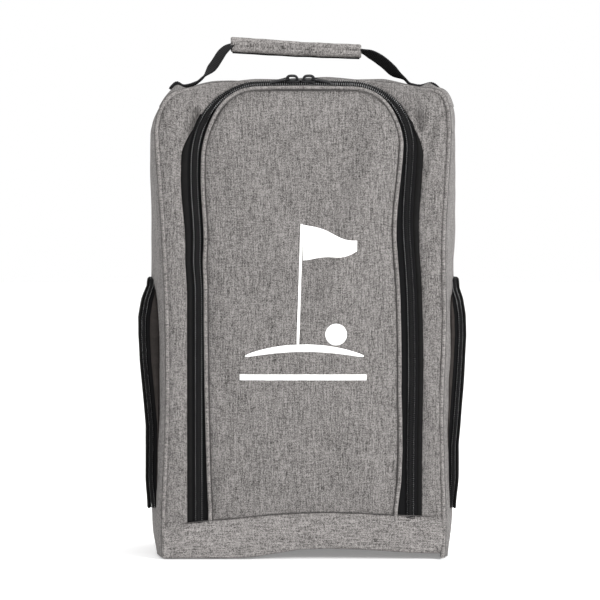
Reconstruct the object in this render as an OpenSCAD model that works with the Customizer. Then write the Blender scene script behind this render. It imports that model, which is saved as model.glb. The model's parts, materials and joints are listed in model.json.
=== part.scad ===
// Golf shoe bag: an upright soft bag with a U shaped zipped front flap, two zipped
// side pockets and a folded webbing handle.
// Millimetres. +Z is up, the front faces -Y, and the origin is under the middle of the bag.

/* [Body] */
// Width of the bag across the middle of its bulging sides
body_w = 229; // [215:1:240]
// Width between the two front corner seams
seam_w = 211; // [207:1:213]
// Depth of the side and top fabric, between the front and back seams
gusset_d = 122; // [118:1:130]
// Height of the top face
body_h = 362; // [350:1:380]
// Height of the band under the front flap
band_h = 29; // [24:1:36]
// Thickness of the heather fabric with its backing
fabric_t = 1.6; // [1:0.1:2]
// Thickness of the lining
lining_t = 0.5; // [0.3:0.1:0.6]
// Thickness of the foam in the back and the flap
foam_t = 2; // [1.5:0.5:2]
// Radius of the corded seams
welt_r = 1.2; // [1:0.1:1.3]

/* [Main zip] */
// Distance from the middle of the bag to the zip on either side
zip_x = 81.5; // [80:0.5:83]
// Half the length of the straight run across the top
zip_top_x = 48; // [44:1:52]
// How far behind the middle of the bag's depth the top run lies
zip_top_y = 56; // [55:0.5:57]
// Drop of the zip's rounded corners
zip_corner_h = 45; // [38:1:50]
// Width of the black strip outside the zip
strip_w = 5; // [4:0.5:5]
// Where the two sliders meet
meet_x = -2; // [-5:0.5:5]

/* [Side pockets] */
// Height of the pocket's lower edge
pocket_z = 46; // [40:1:60]
// Height of the pocket
pocket_h = 168; // [150:1:175]
// Width of the pocket from front to back
pocket_d = 94; // [88:1:98]
// How far the pocket's lower edge stands off the middle plane
pocket_x = 115.8; // [115.6:0.1:117]
// Lean of the pocket's cover away from the bag
pocket_tilt = 3.2; // [2:0.1:3.6]

/* [Handle] */
// Length of the padded grip
grip_l = 101; // [90:1:110]
// Height of the grip
grip_h = 11.5; // [10:0.5:13]
// Thickness of the grip
grip_t = 8; // [7:0.5:9]
// Height of the middle of the grip
grip_z = 387.5; // [385:0.5:392]
// Width of the webbing where it lies on the top of the bag
web_w = 20; // [18:1:25]
// Thickness of the webbing
web_t = 1.6; // [1.2:0.1:2]

/* [Hidden] */

GREY = [0.56, 0.55, 0.54];
BLACK = [0.09, 0.09, 0.1];
DARK = [0.2, 0.2, 0.21];
METAL = [0.06, 0.06, 0.07];
WHITE_FOAM = [0.85, 0.85, 0.83];

left = -1;
right = 1;
gap = 0.3;                          // between fabric pieces that meet
gusset_y = gusset_d / 2;            // plane of the front and back seams
top_split_z = body_h - 20;          // the top panel turns down to here at the shoulders
base_split_z = 8;                   // the base panel turns up to here
hinge_z = band_h + 0.8;

// The zip follows a path; each stop on it is a point, a direction across the zip, away
// from the flap, and a direction out of the bag.
corner_steps = 10;
zip_side_y = -gusset_y - 1.6;
zip_top_z = body_h - 1;
zip_corner_z = zip_top_z - zip_corner_h;
zip_low_z = band_h + 2;
coil_gap = 0.8;                     // half the space between the two halves of the chain
coil_w = 3;                         // outer edge of each half of the chain
tape_w = 5.2;                       // outer edge of each tape
piping_at = 6.6;                    // middle of the flap's piping
piping_r = 1.3;

function unit(v) = v / norm(v);
function mixed(a, b, t) = a * (1 - t) + b * t;
function turn(a) = pow(sin(a), 2);
function zip_point(a) = [
    zip_top_x + (zip_x - zip_top_x) * sin(a),
    mixed(-zip_top_y, zip_side_y, turn(a)),
    zip_corner_z + zip_corner_h * cos(a)];
function zip_slope(a) = unit([
    (zip_x - zip_top_x) * cos(a),
    (zip_side_y + zip_top_y) * sin(2 * a),
    -zip_corner_h * sin(a)]);
function zip_edge(a) = unit([zip_corner_h * sin(a), 0, (zip_x - zip_top_x) * cos(a)]);
function zip_across(a) = unit(mixed([0, 1, 0], zip_edge(a), turn(a)));
function zip_stop(a) = [
    zip_point(a), zip_across(a), unit(cross(zip_slope(a), zip_across(a))), zip_edge(a)];

function mirrored(v) = [-v.x, v.y, v.z];
function half_path(low_z) = [
    for (i = [0:corner_steps]) zip_stop(90 * i / corner_steps),
    [[zip_x, zip_side_y, low_z], [1, 0, 0], [0, -1, 0], [1, 0, 0]]];
function reversed(list) = [for (i = [len(list) - 1:-1:0]) list[i]];
function whole(half) = concat(
    [for (stop = reversed(half)) [for (v = stop) mirrored(v)]], half);
zip_path = whole(half_path(zip_low_z));

// The front corner seam goes up one side, over the shoulder and behind the zip.
seam_x = seam_w / 2;
seam_corner_x = 60;
seam_corner_z = body_h - 26;
seam_top_z = body_h - 1.6;
seam_top_y = zip_top_y - tape_w - strip_w - 2.6;
seam_side_y = -gusset_y - 1.6;
function rise(t) = pow(max(t, 0), 0.6);
function seam_point(a) = [
    seam_corner_x + (seam_x - seam_corner_x) * rise(sin(a)),
    mixed(-seam_top_y, seam_side_y, sin(a)),
    seam_corner_z + (seam_top_z - seam_corner_z) * rise(cos(a))];
function seam_half(low_z) = concat(
    [for (i = [0:corner_steps]) seam_point(90 * i / corner_steps)],
    [[seam_x, seam_side_y, low_z]]);
function seam_whole(low_z) = concat(
    [for (p = reversed(seam_half(low_z))) mirrored(p)], seam_half(low_z));

// The piping at the flap's edge stands in front of the zip at the sides and below it on top.
function piping_point(stop) =
    stop[0] - piping_at * stop[1] + mixed(-1.6, 1.4, abs(stop[1].x)) * stop[2];
piping_path = [for (stop = zip_path) piping_point(stop)];
function flap_outline(inset, low_z) = concat(
    [for (i = [1:len(zip_path) - 2])
        [piping_path[i].x, piping_path[i].z]
        - (piping_r + inset) * [zip_path[i][3].x, zip_path[i][3].z]],
    [[zip_x - piping_at - piping_r - inset, low_z],
     [-(zip_x - piping_at - piping_r - inset), low_z]]);

// A closed solid through rings of the same number of points.
module loft(rings) {
    n = len(rings[0]);
    m = len(rings);
    points = [for (ring = rings, p = ring) p];
    sides = [for (i = [0:m - 2], j = [0:n - 1], half = [0, 1])
        let (k = (j + 1) % n)
        half == 0
            ? [i * n + j, (i + 1) * n + k, (i + 1) * n + j]
            : [i * n + j, i * n + k, (i + 1) * n + k]];
    first = [for (j = [n - 1:-1:0]) j];
    last = [for (j = [0:n - 1]) (m - 1) * n + j];
    polyhedron(points, concat(sides, [first, last]));
}

// A flat ribbon along the zip, between two distances across it and two out of the bag.
module ribbon(path, near, far, low, high) {
    loft([for (s = path) [
        s[0] + far * s[1] + low * s[2],
        s[0] + near * s[1] + low * s[2],
        s[0] + near * s[1] + high * s[2],
        s[0] + far * s[1] + high * s[2]]]);
}

function along(points, i) = unit(
    points[min(i + 1, len(points) - 1)] - points[max(i - 1, 0)]);

// A round cord through a list of points.
module cord(points, r, sides = 8) {
    loft([for (i = [0:len(points) - 1])
        let (t = along(points, i), u = unit(cross(t, [0, 1, 0.13])), v = cross(t, u))
        [for (j = [0:sides - 1])
            points[i] + r * (cos(360 * j / sides) * u - sin(360 * j / sides) * v)]]);
}

module rounded(w, low, high, r_low, r_high) {
    for (x = [-1, 1]) {
        translate([x * (w / 2 - r_low), low + r_low]) circle(r_low, $fn = 32);
        translate([x * (w / 2 - r_high), high - r_high]) circle(r_high, $fn = 32);
    }
    translate([-w / 2, low + r_low]) square([w, high - low - r_low - r_high]);
    translate([-w / 2 + r_low, low]) square([w - 2 * r_low, high - low]);
    translate([-w / 2 + r_high, high - r_high]) square([w - 2 * r_high, r_high]);
}

module slice(y, w, low, high) {
    translate([0, y, 0]) rotate([90, 0, 0]) linear_extrude(0.02, center = true)
        rounded(w, low, high, 7, 18);
}

// The bulging form of the bag between its seams, drawn in by an inset.
module body_form(inset) {
    hull() {
        for (y = [-1, 1]) {
            slice(y * (gusset_y - 0.01), seam_w - 2 * inset, inset, body_h - 1 - inset);
            slice(y * 22, body_w - 2 * inset, inset, body_h - inset);
        }
    }
}

module gusset_wall(outer, inner) {
    difference() {
        body_form(outer);
        body_form(inner);
    }
}

module between(low, high) {
    translate([-200, -200, low]) cube([400, 400, high - low]);
}

module side_half(side) {
    translate([side > 0 ? 80 : -280, -200, 0]) cube([200, 400, 500]);
}

module side_sheet(side, outer, inner) {
    intersection() {
        gusset_wall(outer, inner);
        side_half(side);
        between(base_split_z + gap / 2, top_split_z - gap / 2);
    }
}

module top_sheet(outer, inner, behind) {
    outline = [for (p = seam_whole(top_split_z)) [p.x * 1.2, p.y + behind]];
    intersection() {
        gusset_wall(outer, inner);
        between(top_split_z + gap / 2, 500);
        linear_extrude(500) polygon(concat(outline, [[130, 200], [-130, 200]]));
    }
}

module back_sheet(near, far, inset) {
    translate([0, gusset_y + far, 0]) rotate([90, 0, 0]) linear_extrude(far - near)
        rounded(seam_w - 2 * inset, inset, body_h - 1 - inset, 7, 16);
}

module back_panel() {
    color(GREY) back_sheet(0, fabric_t, welt_r + 0.8);
}

module back_foam() {
    color(WHITE_FOAM) back_sheet(-foam_t, 0, 6);
}

module back_lining() {
    color(DARK) back_sheet(-foam_t - lining_t, -foam_t, 5);
}

module side_panel(side) {
    color(GREY) side_sheet(side, 0, fabric_t);
}

module side_lining(side) {
    color(DARK) intersection() {
        side_sheet(side, fabric_t, fabric_t + lining_t);
        translate([-200, -gusset_y + 3, 0]) cube([400, gusset_d - 7, 500]);
    }
}

module top_panel() {
    color(GREY) top_sheet(0, fabric_t, 1.6);
}

module top_lining() {
    color(DARK) intersection() {
        top_sheet(fabric_t, fabric_t + lining_t, 4);
        translate([-90, -200, 0]) cube([180, 200 + gusset_y - 4, 500]);
        between(body_h - 10, 500);
    }
}

module base_panel() {
    color(GREY) intersection() {
        gusset_wall(0, fabric_t);
        between(-1, base_split_z - gap / 2);
    }
}

board_w = 196;
module base_board() {
    color(BLACK) translate([-board_w / 2, -gusset_y + 4, fabric_t])
        cube([board_w, gusset_d - 9, 2]);
}

module base_lining() {
    color(DARK) translate([-board_w / 2, -gusset_y + 4, fabric_t + 2])
        cube([board_w, gusset_d - 9, lining_t]);
}

module base_band() {
    color(GREY) translate([0, -gusset_y, 0]) rotate([90, 0, 0]) linear_extrude(fabric_t)
        difference() {
            rounded(seam_w - 2 * welt_r - 0.6, 0.4, body_h, 7, 16);
            translate([-200, band_h]) square(400);
        }
}

module front_surround() {
    half = half_path(band_h + 0.6);
    seam = seam_half(band_h + 0.6);
    color(GREY) loft(whole_strip([for (i = [0:len(seam) - 1])
        let (
            stop = half[i],
            inner = stop[0] + (tape_w + strip_w + gap) * stop[1] - 0.4 * stop[2],
            run = along(seam, i),
            lie = unit(inner - seam[i] - ((inner - seam[i]) * run) * run),
            outer = seam[i] + (welt_r + 2 * gap) * lie,
            skin = fabric_t * unit(stop[2] - (stop[2] * lie) * lie))
        [outer - skin, inner - skin, inner, outer]]));
}

// Joins a right half to its mirror image, keeping the rings' sense.
function whole_strip(half) = concat(
    [for (ring = reversed(half)) [for (p = ring) mirrored(p)]], half);

module zip_strip() {
    color(BLACK) ribbon(zip_path, tape_w, tape_w + strip_w, -1.4, -0.4);
}

module zip_tape_outer() {
    color(BLACK) ribbon(zip_path, coil_w, tape_w, -1.2, -0.6);
}

module zip_coil_outer() {
    color(BLACK) ribbon(zip_path, coil_gap, coil_w, -1, 1);
}

module zip_tape_inner() {
    color(BLACK) ribbon(zip_path, -tape_w, -coil_w, -1.2, -0.6);
}

module zip_coil_inner() {
    color(BLACK) ribbon(zip_path, -coil_w, -coil_gap, -1, 1);
}

module front_welt() {
    color(GREY) cord(seam_whole(1.6), welt_r);
}

function back_seam() = [
    for (side = [-1, 1])
        let (half = [
            for (a = [0:15:90]) [seam_x - 16 + 16 * cos(a), body_h - 17 + 16 * sin(a)]])
        each side < 0
            ? concat([[-seam_x, 1.6]], [for (p = half) [-p.x, p.y]])
            : concat(reversed(half), [[seam_x, 1.6]])];

module back_welt() {
    color(GREY) cord([for (p = back_seam()) [p.x, gusset_y + 1.6, p.y]], welt_r);
}

// Binding tape that wraps the raw edges of the corner seams inside the bag.
module seam_tape(y) {
    color(BLACK) for (side = [-1, 1])
        translate([side * (seam_x - 5) - 1, y, 12]) cube([2, 1.4, body_h - 50]);
}

module seam_tape_front() {
    seam_tape(-gusset_y + 2.4);
}

module seam_tape_back() {
    seam_tape(gusset_y - 4.6);
}

flap_low_z = hinge_z + 0.8;
module flap_sheet(near, far, inset, low_z) {
    translate([0, -gusset_y - near, 0]) rotate([90, 0, 0]) linear_extrude(far - near)
        polygon(flap_outline(inset, low_z));
}

module flap_panel() {
    color(GREY) flap_sheet(2.4, 4, 0.15, flap_low_z);
}

module flap_foam() {
    color(WHITE_FOAM) flap_sheet(2.4 - foam_t, 2.4, 6, flap_low_z + 4);
}

module flap_lining() {
    color(DARK) flap_sheet(2.4 - foam_t - lining_t, 2.4 - foam_t, 4, flap_low_z + 2);
}

module flap_piping() {
    points = [for (i = [1:len(piping_path) - 2]) piping_path[i]];
    end = points[len(points) - 1];
    low = [end.x, end.y, flap_low_z];
    color(GREY) cord(concat([mirrored(low)], points, [low]), piping_r);
}

// A zip slider. The closed chain runs through it towards +X and +Z is the outer face.
slider_l = 11;
slider_w = 8.4;
crown_x = 2;
crown_l = 9.2;
crown_h = 4.4;
plate_z = 1.35;
plate_t = 1.1;
pin_r = 0.6;
pin_x = crown_x + crown_l - 2.6;
pin_z = plate_z + plate_t + 2;

module slider() {
    color(METAL) {
        for (z = [plate_z, -plate_z - plate_t - 0.5]) translate([0, -slider_w / 2, z])
            cube([slider_l, slider_w, plate_t]);
        translate([0.2, -0.5, -plate_z - 0.6]) cube([2, 1, 2 * plate_z + 0.8]);
        translate([crown_x, 0.9, plate_z + plate_t]) rotate([90, 0, 0])
            linear_extrude(1.8) difference() {
                translate([0, -0.2]) square([crown_l, crown_h + 0.2]);
                translate([1.6, 0.8]) square([crown_l - 3.2, crown_h - 1.9]);
            }
    }
}

// The pull's bar passes through the crown; its plate lies over the closed chain.
pull_l = 15;
pull_w = 5;
pull_slope = 9;
module pull() {
    color(METAL) translate([pin_x, 0, pin_z]) rotate([0, pull_slope, 0]) {
        rotate([90, 0, 0]) cylinder(r = pin_r, h = pull_w, center = true, $fn = 24);
        for (y = [-1, 1]) translate([-0.6, y * 1.9 - 0.6, -0.4]) cube([4.4, 1.2, 0.8]);
        translate([3.8, -pull_w / 2, -0.4]) cube([pull_l - 3.8, pull_w, 0.8]);
    }
}

module on_main(side) {
    translate([meet_x + side * 0.3, -zip_top_y, zip_top_z])
        rotate([0, 0, side > 0 ? 0 : 180]) children();
}

// The pocket is drawn for the +X side, leaning out from its lower edge.
module on_side(side) {
    mirror([side < 0 ? 1 : 0, 0, 0]) translate([pocket_x, 0, pocket_z])
        rotate([0, pocket_tilt, 0]) children();
}

// The pocket's zip runs in its edge wall: it follows the arch, and its width lies across
// the wall, between the cover and the gusset.
chain_half = pocket_d / 2 - 1;      // from the pocket's middle to the middle of its wall
chain_top = pocket_h - 1;
chain_u = -4.5;                     // middle of the chain, in from the cover
arch_r = 36;
module arch(grow) {
    half = chain_half + grow;
    top = chain_top + grow;
    r = arch_r + grow;
    translate([-half, 0]) square([2 * half, top - r]);
    for (y = [-1, 1]) translate([y * (half - r), top - r]) circle(r);
    translate([-(half - r), 0]) square([2 * (half - r), top]);
}

// A wall along the pocket's arch: half its thickness, and where it lies out from the bag.
module arch_wall(half_t, low, high, foot = 1) {
    translate([low, 0, 0]) rotate([90, 0, 90]) linear_extrude(high - low, $fn = 96)
        intersection() {
            difference() {
                arch(half_t);
                arch(-half_t);
            }
            translate([-100, foot]) square(400);
        }
}

pocket_tape_w = 2.2;
gusset_reach = 16;
module pocket_gusset(side) {
    color(BLACK) difference() {
        on_side(side) union() {
            arch_wall(0.6, -gusset_reach, chain_u - coil_w - pocket_tape_w, 0);
            translate([-gusset_reach, -pocket_d / 2, -1.2]) cube([gusset_reach, pocket_d, 1.2]);
        }
        body_form(0);
        side_half(-side);
    }
}

module pocket_tape_outer(side) {
    color(BLACK) difference() {
        on_side(side) arch_wall(0.3, chain_u - coil_w - pocket_tape_w, chain_u - coil_w);
        body_form(0);
    }
}

module pocket_coil_outer(side) {
    color(BLACK) difference() {
        on_side(side) arch_wall(1, chain_u - coil_w, chain_u - coil_gap);
        body_form(0);
    }
}

module pocket_tape_inner(side) {
    color(BLACK) on_side(side) arch_wall(0.3, chain_u + coil_w, 0);
}

module pocket_coil_inner(side) {
    color(BLACK) on_side(side) arch_wall(1, chain_u + coil_gap, chain_u + coil_w);
}

module pocket_cover(side) {
    color(DARK) on_side(side) rotate([90, 0, 90]) linear_extrude(fabric_t, $fn = 96)
        intersection() {
            arch(1);
            translate([-100, 1]) square(400);
        }
}

// The pocket's slider stands on the rear run, head down, with its plates either side of
// the wall.
pocket_rest = 60;
module on_pocket(side) {
    on_side(side) translate([chain_u, chain_half, pocket_rest])
        rotate(a = 240, v = [1, 1, 1]) children();
}

// On a pocket the pull hangs down, so it is turned end for end in its crown.
module hanging() {
    translate([2 * crown_x + crown_l, 0, 0]) mirror([1, 0, 0]) children();
}

// Handle: webbing sewn flat to the top panel, then risers up to the padded grip.
anchor_out = 94;
anchor_in = 70;
axis_z = body_h + web_t + gap + 1.3;

module web_anchor(side) {
    color(BLACK) mirror([side < 0 ? 1 : 0, 0, 0])
        translate([anchor_in, -web_w / 2, body_h + 0.05])
            cube([anchor_out - anchor_in, web_w, web_t]);
}

// Each stop of a riser: across the bag, height, then half its size across and up.
riser_foot = 76;
riser = [
    [riser_foot, axis_z, 1.3, 1.1],
    [riser_foot - 5, axis_z + 7, 2.4, 1.2],
    [riser_foot - 12, axis_z + 14, 3.2, 2],
    [grip_l / 2 + 3, grip_z - 1, 1.6, 4.4],
    [grip_l / 2 + 0.2, grip_z, 1.6, 4.8]];

module handle_web(side) {
    color(BLACK) mirror([side < 0 ? 1 : 0, 0, 0]) {
        loft([for (s = riser) [
            [s[0], s[2], s[1] - s[3]], [s[0], s[2], s[1] + s[3]],
            [s[0], -s[2], s[1] + s[3]], [s[0], -s[2], s[1] - s[3]]]]);
        translate([riser_foot - 0.05, 0, axis_z]) rotate([0, 90, 0])
            cylinder(r = 1.3, h = 3, $fn = 32);
    }
}

module grip_bar(l, t, h) {
    r = t / 2 - 0.2;
    translate([-l / 2, 0, grip_z]) rotate([90, 0, 90]) linear_extrude(l) {
        for (z = [-1, 1]) translate([0, z * (h / 2 - r)]) circle(r, $fn = 48);
        square([2 * r, h - 2 * r], center = true);
    }
}

module handle_grip() {
    color(GREY) difference() {
        grip_bar(grip_l, grip_t, grip_h);
        grip_bar(grip_l + 2, grip_t - 2, grip_h - 2);
    }
}

module handle_core() {
    color(WHITE_FOAM) grip_bar(grip_l - 0.2, grip_t - 2, grip_h - 2);
}

back_panel();
back_foam();
back_lining();
side_panel(left);  // side_panel_left
side_panel(right);  // side_panel_right
side_lining(left);  // side_lining_left
side_lining(right);  // side_lining_right
top_panel();
top_lining();
base_panel();
base_board();
base_lining();
base_band();
front_surround();
zip_strip();
zip_tape_outer();
zip_coil_outer();
front_welt();
back_welt();
seam_tape_front();
seam_tape_back();
web_anchor(left);  // web_anchor_left
web_anchor(right);  // web_anchor_right
pocket_gusset(left);  // pocket_gusset_left
pocket_gusset(right);  // pocket_gusset_right
pocket_tape_outer(left);  // pocket_tape_outer_left
pocket_tape_outer(right);  // pocket_tape_outer_right
pocket_coil_outer(left);  // pocket_coil_outer_left
pocket_coil_outer(right);  // pocket_coil_outer_right
flap_panel();
flap_foam();
flap_lining();
flap_piping();
zip_tape_inner();
zip_coil_inner();
on_main(left) slider();  // zip_slider_left
on_main(right) slider();  // zip_slider_right
on_main(left) pull();  // zip_pull_left
on_main(right) pull();  // zip_pull_right
pocket_cover(left);  // pocket_cover_left
pocket_cover(right);  // pocket_cover_right
pocket_tape_inner(left);  // pocket_tape_inner_left
pocket_tape_inner(right);  // pocket_tape_inner_right
pocket_coil_inner(left);  // pocket_coil_inner_left
pocket_coil_inner(right);  // pocket_coil_inner_right
on_pocket(left) slider();  // pocket_slider_left
on_pocket(right) slider();  // pocket_slider_right
on_pocket(left) hanging() pull();  // pocket_pull_left
on_pocket(right) hanging() pull();  // pocket_pull_right
handle_web(left);  // handle_web_left
handle_web(right);  // handle_web_right
handle_grip();
handle_core();
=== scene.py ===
import json
import math

import bmesh
import bpy
import numpy as np
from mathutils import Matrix, Vector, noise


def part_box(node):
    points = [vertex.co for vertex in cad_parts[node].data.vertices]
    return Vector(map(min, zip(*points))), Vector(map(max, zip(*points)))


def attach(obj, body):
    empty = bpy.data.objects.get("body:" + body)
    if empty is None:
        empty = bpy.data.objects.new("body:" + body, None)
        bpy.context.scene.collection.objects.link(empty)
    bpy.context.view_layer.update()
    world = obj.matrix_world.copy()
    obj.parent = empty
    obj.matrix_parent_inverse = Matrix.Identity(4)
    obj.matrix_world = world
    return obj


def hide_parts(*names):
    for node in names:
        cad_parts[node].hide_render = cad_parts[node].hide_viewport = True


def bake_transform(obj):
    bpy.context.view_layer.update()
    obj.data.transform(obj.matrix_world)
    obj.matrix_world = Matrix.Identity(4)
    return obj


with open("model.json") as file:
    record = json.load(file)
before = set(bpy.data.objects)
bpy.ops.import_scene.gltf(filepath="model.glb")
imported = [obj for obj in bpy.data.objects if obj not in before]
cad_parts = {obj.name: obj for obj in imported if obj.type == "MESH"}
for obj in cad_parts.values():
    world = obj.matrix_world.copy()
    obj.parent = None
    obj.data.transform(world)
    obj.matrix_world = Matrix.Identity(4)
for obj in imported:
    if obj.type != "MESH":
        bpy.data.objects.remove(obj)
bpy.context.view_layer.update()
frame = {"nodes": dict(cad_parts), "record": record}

# A golf shoe bag. Shapes are worked out in millimetres, in the CAD's own frame.
MM = 0.001
SIDES = {"left": -1, "right": 1}

# how the back's fabric settles: for how many frames, on every which point of its grid
SETTLE_FRAMES = 20
COARSE = 2
CLOTH = dict(quality=6, mass=0.0006, tension_stiffness=12, compression_stiffness=12,
             shear_stiffness=4, bending_stiffness=0.35, tension_damping=8,
             compression_damping=8, shear_damping=8, bending_damping=0.6, air_damping=6)


# ---------------------------------------------------------------- sizes, in millimetres
def box_mm(node):
    low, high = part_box(node)
    return np.array(low) / MM, np.array(high) / MM


def joint(name):
    return next(j for j in frame["record"]["behaviour"]["joints"] if j["name"] == name)


# the shell and its seams
BODY_TOP = box_mm("top_panel")[1][2]
SEAM_Y = box_mm("side_panel_right")[1][1]
SEAM_X = box_mm("front_welt")[1][0] - 1.2
FRONT_Y = -SEAM_Y - 1.6
BAND_TOP = box_mm("base_band")[1][2]
WELT_R = 1.35
FABRIC, LINING = 1.0, 0.5       # how thick the outer fabric and the lining are
STITCH = 2.6                    # length of a stitch
# the main zip: its middle line, the half width and height of its top corners, its lean
COIL_W = 3.0
ZIP_X, ZIP_TOP_Y = box_mm("zip_coil_outer")[1][:2] - COIL_W
ZIP_TOP_Z = box_mm("zip_coil_outer")[1][2] - 1
ZIP_TOP_X = 35.5
ZIP_CORNER_H = 53.5
TOP_LEAN = 22.0                 # degrees
TOOTH = 1.6                     # from one turn of the coil to the next
TAPE_W, STRIP_W = 5.2, 5.0      # the tape and the black strip beyond it
PIPING_AT, PIPING_R = 6.6, 1.45
# the flap's fold
HINGE_Y, HINGE_Z = [v / MM for v in joint("flap_hinge")["pos_m"][1:]]
FOLD_Z, FOLD_H = HINGE_Z + 8.6, 13.0
# the handle's webbing
WEBBING_W, WEBBING_T = 17.5, 1.6
RIB_PITCH, RIB_RISE = 1.3, 0.16
# the side pockets
POCKET_X, _, POCKET_Z = [v / MM for v in joint("pocket_hinge_right")["pos_m"]]
_, POCKET_HALF, POCKET_TOP = box_mm("pocket_cover_right")[1]
POCKET_EDGE = POCKET_HALF - 1.2
POCKET_FOOT = 8.0               # how far the zip runs below the fold
POCKET_FOLD_H = 9.0
POCKET_CORNER = 36.0
POCKET_CHAIN_IN = 3.4           # the chain's middle, in from the mouth

# fabric sewn across a fold: the body beyond it, and where it starts and ends to bend
FOLDS = {"flap fold": ("front_flap", (0, HINGE_Y, FOLD_Z), (0, HINGE_Y, FOLD_Z + FOLD_H))}
for side_name, sign in SIDES.items():
    FOLDS["pocket fold " + side_name] = ("pocket_door_" + side_name,
                                         (sign * POCKET_X, 0, POCKET_Z),
                                         (sign * POCKET_X, 0, POCKET_Z + POCKET_FOLD_H))


# ---------------------------------------------------------------- small maths
def unit(v):
    v = np.asarray(v, float)
    return v / np.maximum(np.linalg.norm(v, axis=-1, keepdims=True), 1e-12)


def mixed(a, b, t):
    t = np.asarray(t)[..., None] if np.ndim(a) > np.ndim(t) else t
    return np.asarray(a) * (1 - t) + np.asarray(b) * t


def smooth(t):
    t = np.clip(t, 0, 1)
    return t * t * (3 - 2 * t)


def bump(v, middle, width):
    return np.exp(-(((np.asarray(v, float) - middle) / width) ** 2))


def spline(points, n):
    """n points, evenly spaced, on a smooth curve through the given ones."""
    p = np.array(points, float)
    p = np.vstack([2 * p[0] - p[1], p, 2 * p[-1] - p[-2]])
    out = []
    for i in range(1, len(p) - 2):
        t = np.linspace(0, 1, 24, endpoint=i == len(p) - 3)[:, None]
        a, b, c, d = p[i - 1], p[i], p[i + 1], p[i + 2]
        out.append(0.5 * (2 * b + (c - a) * t + (2 * a - 5 * b + 4 * c - d) * t ** 2
                          + (3 * b - a - 3 * c + d) * t ** 3))
    return spaced(np.vstack(out), n)


def lengths(line):
    return np.concatenate([[0], np.cumsum(np.linalg.norm(np.diff(line, axis=0), axis=1))])


def resampled(values, s, at):
    return np.stack([np.interp(at, s, values[:, k]) for k in range(values.shape[1])], 1)


def spaced(line, n):
    s = lengths(line)
    return resampled(line, s, np.linspace(0, s[-1], n))


def ripple(points, scale, seed):
    """Smooth noise from -1 to 1 at each point, with bumps about that many mm wide."""
    flat = np.asarray(points, float).reshape(-1, 3) / scale + seed * 17.3
    found = [noise.noise(Vector(p)) for p in flat]
    return np.array(found).reshape(np.shape(points)[:-1]) * 1.6


def crease(p, start, end, width, height):
    """A soft fold along a line from start to end, in x and z: its height at each point."""
    a, b = np.array(start, float), np.array(end, float)
    flat = np.asarray(p)[..., [0, 2]]
    along = b - a
    t = ((flat - a) @ along) / (along @ along)
    off = np.linalg.norm(flat - (a + t[..., None] * along), axis=-1)
    ends = smooth((t + 0.25) / 0.35) * smooth((1.25 - t) / 0.35)
    return height * np.exp(-((off / width) ** 2)) * ends


def creases(p, rows):
    """Several soft folds: the x and z of each one's start and end, its width and height."""
    return sum(crease(p, row[:2], row[2:4], *row[4:]) for row in rows)


def mirror_x(p):
    return p * np.array([-1.0, 1, 1])


def between(a, b, t):
    """A grid of points from each point of line a across to line b."""
    t = t[None, :, None]
    return a[:, None] * (1 - t) + b[:, None] * t


def x_at(line, z):
    """The x of a rising line at some heights."""
    return np.interp(z, line[:, 2], line[:, 0])


def around(n):
    """Angles evenly spaced round a circle."""
    return np.linspace(0, 2 * math.pi, n, endpoint=False)


def squared(v, power):
    """A sine or cosine pushed towards a square's: 1 gives a circle."""
    return np.sign(v) * np.abs(v) ** power


# ---------------------------------------------------------------- meshes
def face_out(mesh):
    """A closed piece's faces look outward."""
    work = bmesh.new()
    work.from_mesh(mesh)
    if work.calc_volume(signed=True) < 0:
        bmesh.ops.reverse_faces(work, faces=work.faces)
        work.to_mesh(mesh)
    work.free()
    mesh.update()


def carry(obj, body):
    """A piece rides its body; a piece sewn across a fold stays where it is, its transform baked in.
    """
    if body in FOLDS:
        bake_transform(obj)
    elif body:
        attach(obj, body)


def add(name, verts, faces, mat, body=None, weave=None):
    mesh = bpy.data.meshes.new(name)
    mesh.from_pydata((np.asarray(verts, float) * MM).tolist(), [], faces)
    face_out(mesh)
    mesh.polygons.foreach_set("use_smooth", [True] * len(mesh.polygons))
    if weave is not None:
        data = mesh.attributes.new("weave", "FLOAT_VECTOR", "POINT").data
        flat = np.zeros((len(verts), 3))
        flat[:, :2] = np.asarray(weave, float).reshape(-1, 2) * MM
        data.foreach_set("vector", flat.ravel())
    obj = bpy.data.objects.new(name, mesh)
    bpy.context.scene.collection.objects.link(obj)
    mesh.materials.append(MAT[mat])
    carry(obj, body)
    return obj


def grid_faces(nu, nv, base=0, wrap_v=False, flip=False):
    i, j = np.meshgrid(np.arange(nu - 1), np.arange(nv if wrap_v else nv - 1), indexing="ij")
    k = (j + 1) % nv
    quads = np.stack([i * nv + j, (i + 1) * nv + j, (i + 1) * nv + k, i * nv + k], -1)
    quads = quads.reshape(-1, 4) + base
    return (quads[:, ::-1] if flip else quads).tolist()


def swept_faces(rings, sides, flip=False):
    """Faces of rings of points swept along a line, closed at both ends."""
    last = (rings - 1) * sides
    return (grid_faces(rings, sides, wrap_v=True, flip=flip)
            + [list(range(sides)), [last + k for k in range(sides - 1, -1, -1)]])


def cloth_weave(p):
    """Distances along a grid of points, across it and up it, for the weave."""
    u, v = lengths(p[:, p.shape[1] // 2]), lengths(p[p.shape[0] // 2])
    return np.stack(np.meshgrid(u, v, indexing="ij"), -1)


def outward(p):
    """Normals of a grid of points, away from the middle of the bag."""
    normal = unit(np.cross(np.gradient(p, axis=0), np.gradient(p, axis=1)))
    return normal * np.sign((normal * (p - [0, 0, BODY_TOP / 2])).sum())


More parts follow.
